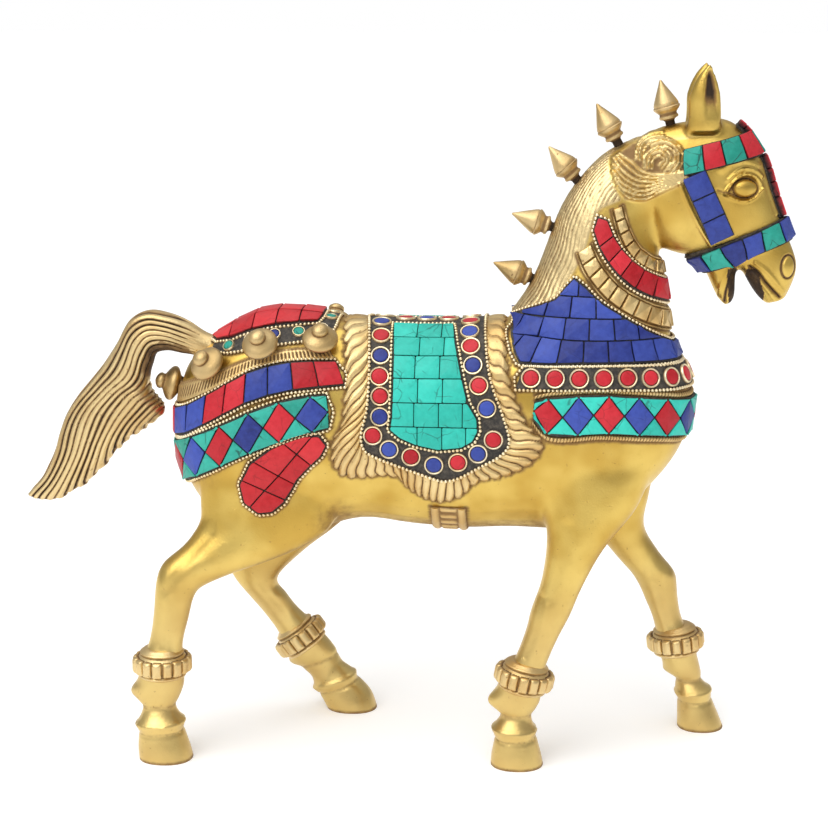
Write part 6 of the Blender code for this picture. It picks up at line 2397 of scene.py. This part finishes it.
@dataclass
class Halter:
    """The stone-set halter on the head."""

    noseband: Strap = ((158.4, 261.7), 22.0, 5.4, 180, 12)
    browband: Strap = ((147.0, 306.5), 14.0, 5.6, 142, 9)
    nose_colours: tuple[Colour, ...] = (L, D, L, L, D, L)
    brow_colours: tuple[Colour, ...] = (D, C, D, C, D)
    cheekpiece: Path = ((134.2, 297.0), (138.4, 288), (143.0, 278.5), (148.8, 266.4))
    face_axis: Pair = (140.0, 290.0)
    clear: float = 27.0      # how far from its axis a strap is dropped on the head
    strap_bed: float = 2.0
    strap_top: float = 3.8
    cheek_half: float = 5.7
    cheek_stones: int = 3
    cheek_foot: float = 1.5
    face_half: float = 4.6
    face_bed: float = 1.3
    face_levels: Pair = (0.9, 4.0)      # the stones' feet and faces
    face_strips: tuple[tuple[str, float, float, int], ...] = (
        ("face_strip_upper", 64, 51.5, 2), ("face_strip_lower", 29.5, -22, 4))

    def band(self, setter: Setter, skin: Skin, name: str, strap: Strap,
             colours: Sequence[Colour]) -> None:
        """Lays a strap of stones round the head.

        Args:
            setter: sets the stones, beads and beds.
            skin: the castings' skin.
            name: the CAD node that it stands for.
            strap: its measures.
            colours: its stones' colours, from the middle outwards.
        """
        (x, z), slope, half, reach, tiles = strap
        tilt = math.radians(slope)
        wrap = Rolled(skin, (x, 0, z), (-math.sin(tilt), 0, math.cos(tilt)),
                      (math.cos(tilt), 0, math.sin(tilt)), DEGREES, start=self.clear)
        turns = np.linspace(-reach, reach, 145)
        walked = running([wrap.spot(0, t)[0] for t in turns])
        self.bed(setter, wrap, name, half + FIELD_MARGIN, turns, 6, self.strap_bed)
        angles = np.interp(np.linspace(0, walked[-1], tiles + 1), walked, turns).tolist()
        cells = quads(*([(shift, t) for t in angles] for shift in (half, -half)))
        steps = [int(min(abs(k - (tiles - 1) / 2), len(colours) - 1)) for k in range(tiles)]
        setter.stones(name + "_stones", wrap,
                      [(cell, colours[k]) for cell, k in zip(cells, steps)], FIELD_BED,
                      self.strap_top)

    @staticmethod
    def bed(setter: Setter, wrap: Wrap, name: str, half: float, turns: np.ndarray, across: int,
            height: float) -> None:
        """Lays the resin bed of a strap."""
        setter.quilt(name + "_bed", wrap, [(-half, t) for t in turns], [(half, t) for t in turns],
                     across, lambda s, t: (height, 0.0, 0.0), (name,),
                     setter.statue.finishes.resin, "resin_bed")

    def build(self, setter: Setter, skin: Skin) -> None:
        """Lays the straps, the cheekpieces and the strips on the nose.

        Args:
            setter: sets the stones, beads and beds.
            skin: the castings' skin.
        """
        self.band(setter, skin, "noseband", self.noseband, self.nose_colours)
        self.band(setter, skin, "browband", self.browband, self.brow_colours)
        cells = strip(self.cheekpiece, self.cheek_half, self.cheek_stones)
        outline = [cells[0][0], *[c[1] for c in cells], cells[-1][2],
                   *[c[3] for c in reversed(cells)]]
        for flank in Flank:
            wrap, name = FromSide(skin, flank), "cheekpiece_" + flank.name.lower()
            setter.bed(name + "_bed", wrap, widened(outline, FIELD_MARGIN), self.strap_bed,
                       (name,))
            setter.stones(name + "_stones", wrap, [(cell, L) for cell in cells], self.cheek_foot,
                          STONE_TOP)
        face = Rolled(skin, (self.face_axis[0], 0, self.face_axis[1]), (0, -1, 0), (1, 0, 0),
                      DEGREES)
        for name, upper, lower, count in self.face_strips:
            cells = strip([(0, upper), (0, (upper + lower) / 2), (0, lower)], self.face_half,
                          count)
            self.bed(setter, face, name, self.face_half + 0.2, np.linspace(upper, lower, 40), 4,
                     self.face_bed)
            setter.stones(name + "_stones", face, [(cell, C) for cell in cells],
                          *self.face_levels)


@dataclass
class Spikes:
    """The five turned spikes on the crest of the neck."""

    profile: Path = (
        (-3, 2.4), (2.6, 2.3), (3.4, 2.9), (4.0, 4.5), (4.8, 4.7), (5.6, 4.2), (6.4, 4.2),
        (7.6, 5.4), (8.8, 6.4), (9.5, 6.5), (10.0, 6.0), (10.6, 6.1), (12.0, 5.6), (14.5, 4.4),
        (17.5, 2.9), (20.4, 1.4), (22.0, 0.7), (22.6, 0.2))
    places: tuple[tuple[Pair, Pair], ...] = (
        ((60, 243.4), (38.6, 252)), ((69.3, 269), (48.9, 275.6)), ((80.1, 291.4), (65.4, 308.2)),
        ((98.9, 309.3), (88.9, 327.1)), ((123.5, 318.5), (117.7, 340.7)))

    def build(self, setter: Setter) -> None:
        """Turns the spikes and stands them on the crest.

        Args:
            setter: sets the stones, beads and beds.
        """
        pattern = Bench.turned(self.profile, 36)
        height = pattern[0][:, 2]
        brown = np.maximum.reduce([1 - soft_step(height, 2.8, 4.2), 0.8 * hump(height - 6.0, 0.6),
                                   0.4 * hump(height - 10.0, 0.4)])
        for k, ((x, z), (tip_x, tip_z)) in enumerate(self.places, start=1):
            setter.plant(f"mane_spike_turned_{k}", pattern, Vector((x, 0, z)),
                         Vector((tip_x - x, 0, tip_z - z)).normalized(), brown,
                         f"mane_spike_{k}")


@dataclass
class Anklets:
    """The studded rings round the fetlocks."""

    places: tuple[tuple[str, Triple, float], ...] = (
        ("right_hind", (-123.6, -35.0, 53.0), 0), ("left_hind", (-64.2, 36.8, 44.2), 36),
        ("right_fore", (57.6, -30.0, 49.5), -11), ("left_fore", (134.6, 30.0, 50.5), 7))
    profile: Path = (
        (-7.2, 9.0), (-7.0, 10.8), (-6.4, 11.8), (-5.6, 12.0), (-5.0, 11.6), (-4.5, 11.2),
        (-3.8, 12.3), (-2.0, 12.9), (0.6, 13.0), (2.8, 12.4), (3.9, 11.4), (4.4, 10.6),
        (4.8, 10.4), (5.3, 11.0), (6.0, 11.1), (6.6, 10.6), (7.0, 9.6), (7.6, 9.3), (8.2, 8.0))
    studs: int = 16
    stud_size: Triple = (4.4, 7.6, 3.2)
    stud_radius: float = 12.5

    def build(self, setter: Setter) -> None:
        """Turns each ring, sets its studs round it and hands it over.

        Args:
            setter: sets the stones, beads and beds.
        """
        ring = Bench.turned(self.profile, 56)
        height = ring[0][:, 2]
        brown = np.maximum.reduce([0.6 * hump(height + 4.5, 0.4), 0.6 * hump(height - 4.7, 0.4),
                                   0.45 * (np.abs(height) < 3.9)])
        stud = Bench.stud(*self.stud_size)
        for name, middle, lean in self.places:
            tilt = math.radians(lean)
            axis = Vector((-math.sin(tilt), 0, math.cos(tilt)))
            heap = Heap()
            heap.stamp(ring, setter.stand(Vector(middle), axis, Vector((1, 0, 0))), hollow=brown)
            for k in range(self.studs):
                turn = Matrix.Rotation(2 * math.pi * k / self.studs, 3, axis)
                out = turn @ Vector((0, 1, 0)).cross(axis).normalized()
                spot = Vector(middle) + out * self.stud_radius - axis * 0.2
                worn = setter.random.uniform(0.93, 1.04)
                heap.stamp(stud, setter.stand(spot, out, axis.cross(out), worn),
                           hollow=np.clip(0.5 - stud[0][:, 2] * 0.5, 0, 1))
            setter.statue.hand_over(heap.build(f"anklet_{name}"),
                                    setter.statue.finishes.carved, "carved_brass", smooth=45)


@dataclass
class Girth:
    """The girth strap under the belly."""

    rear: float = 10.5
    front: float = 28.0
    start: float = 99.5

    @staticmethod
    def shape(s: float, t: float) -> Touch:
        """Two rounded rails with cross bars between them.

        Args:
            s: the share of the way along.
            t: the share of the way across.

        Returns:
            The height over the skin, the brown, and the shift past the edge.
        """
        edge = min(t, 1 - t)
        rail = math.sin(math.pi * edge / 0.25) ** 0.5 if edge < 0.25 else 0.0
        bar = max(0.0, math.sin(2 * math.pi * 13 * s)) ** 0.5 if edge > 0.29 else 0.0
        return (0.7 + 1.1 * rail + 0.8 * bar, 0.5 - 0.45 * max(rail, bar), 0.0)

    def build(self, setter: Setter, skin: Skin) -> None:
        """Lays the strap from flank to flank."""
        rows = np.linspace(self.start, 2 * math.pi * ROLL - self.start, 90)
        setter.quilt("girth_strap_carved", round_body(skin), [(self.rear, b) for b in rows],
                     [(self.front, b) for b in rows], 16, self.shape, ("girth_strap",))


@dataclass
class Studio:
    """A plain pale floor, soft light and the camera."""

    lens: float = 84.6
    eye: Triple = (0.0896, -0.94827, 0.3815)
    aim: Triple = (0.0068, -0.00187, 0.1715)
    lamps: tuple[tuple[str, Triple, float, float], ...] = (
        ("key", (-0.9, -1.3, 1.5), 1.3, 7.5), ("top", (0.1, 0.2, 1.7), 1.2, 5))
    lit: Triple = (0, 0, 0.17)      # where the lamps point
    sun_from: Triple = (-0.3, -0.55, 0.8)
    sun_power: float = 1.5
    sun_spread: float = 1.2         # radians
    dusk: float = 0.36              # the sky's strength near the ground
    zenith: float = 0.6

    @staticmethod
    def put(name: str, data: bpy.types.ID, place: Sequence[float],
            aim: Sequence[float]) -> bpy.types.Object:
        """Stands a light or the camera in the studio, turned to a point.

        Args:
            name: the object's name.
            data: the light or camera.
            place: where it stands.
            aim: the point it is turned to.

        Returns:
            The object.
        """
        obj = linked(name, data)
        obj.location = place
        obj.rotation_euler = (Vector(aim) - Vector(place)).to_track_quat("-Z", "Y").to_euler()
        return obj

    def sky(self) -> bpy.types.World:
        """A sky that lights softly from above, and that the camera sees as white."""
        world = bpy.data.worlds.new("studio_sky")
        world.use_nodes = True
        graph = Graph(world.node_tree)
        place = graph.node("ShaderNodeTexCoord").outputs["Generated"]
        up = graph.node("ShaderNodeSeparateXYZ", {}, {"Vector": place}).outputs["Z"]
        glow = graph.node("ShaderNodeMapRange", {}, {
            "Value": up, "From Min": -0.1, "From Max": 0.8, "To Min": self.dusk,
            "To Max": self.zenith}).outputs[0]
        seen = graph.node("ShaderNodeLightPath").outputs["Is Camera Ray"]
        strength = graph.node("ShaderNodeMapRange", {}, {"Value": seen, "To Min": glow,
                                                         "To Max": 1.0}).outputs[0]
        background = graph.tree.nodes["Background"]
        graph.plug(background.inputs["Color"], (1, 1, 1, 1))
        graph.plug(background.inputs["Strength"], strength)
        return world

    def build(self) -> None:
        """Sets up floor, lamps, sky and camera."""
        bpy.ops.mesh.primitive_plane_add(size=30)
        floor = bpy.context.object
        floor.name = floor.data.name = "studio_floor"
        floor.data.materials.append(FloorFinish().build())
        for name, place, size, power in self.lamps:
            light = bpy.data.lights.new(name, "AREA")
            light.size, light.energy = size, power
            self.put(name, light, place, self.lit)
        sun = bpy.data.lights.new("soft_daylight", "SUN")
        sun.energy, sun.angle = self.sun_power, self.sun_spread
        self.put("soft_daylight", sun, self.sun_from, (0, 0, 0))
        camera = bpy.data.cameras.new("camera")
        camera.lens, camera.sensor_width = self.lens, 36
        scene = bpy.context.scene
        scene.world = self.sky()
        scene.camera = self.put("camera", camera, self.eye, self.aim)
        scene.view_settings.view_transform = "Standard"


def main() -> None:
    """Builds the statue piece by piece, then the studio."""
    logging.basicConfig(level=logging.INFO, format="%(relativeCreated)8.0f ms  %(message)s")
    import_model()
    statue = Statue(Finishes())
    castings = Castings()
    body = castings.blended()
    skin = Skin(body)
    setter = Setter(statue)
    for trapping in (Saddle(), ChestFields(), Collars(), Croup(), Halter(), Girth()):
        trapping.build(setter, skin)
    Spikes().build(setter)
    Anklets().build(setter)
    Tail().build(statue)
    castings.build(statue, body, setter.trimmings)
    Studio().build()


if __name__ == "__main__":
    main()
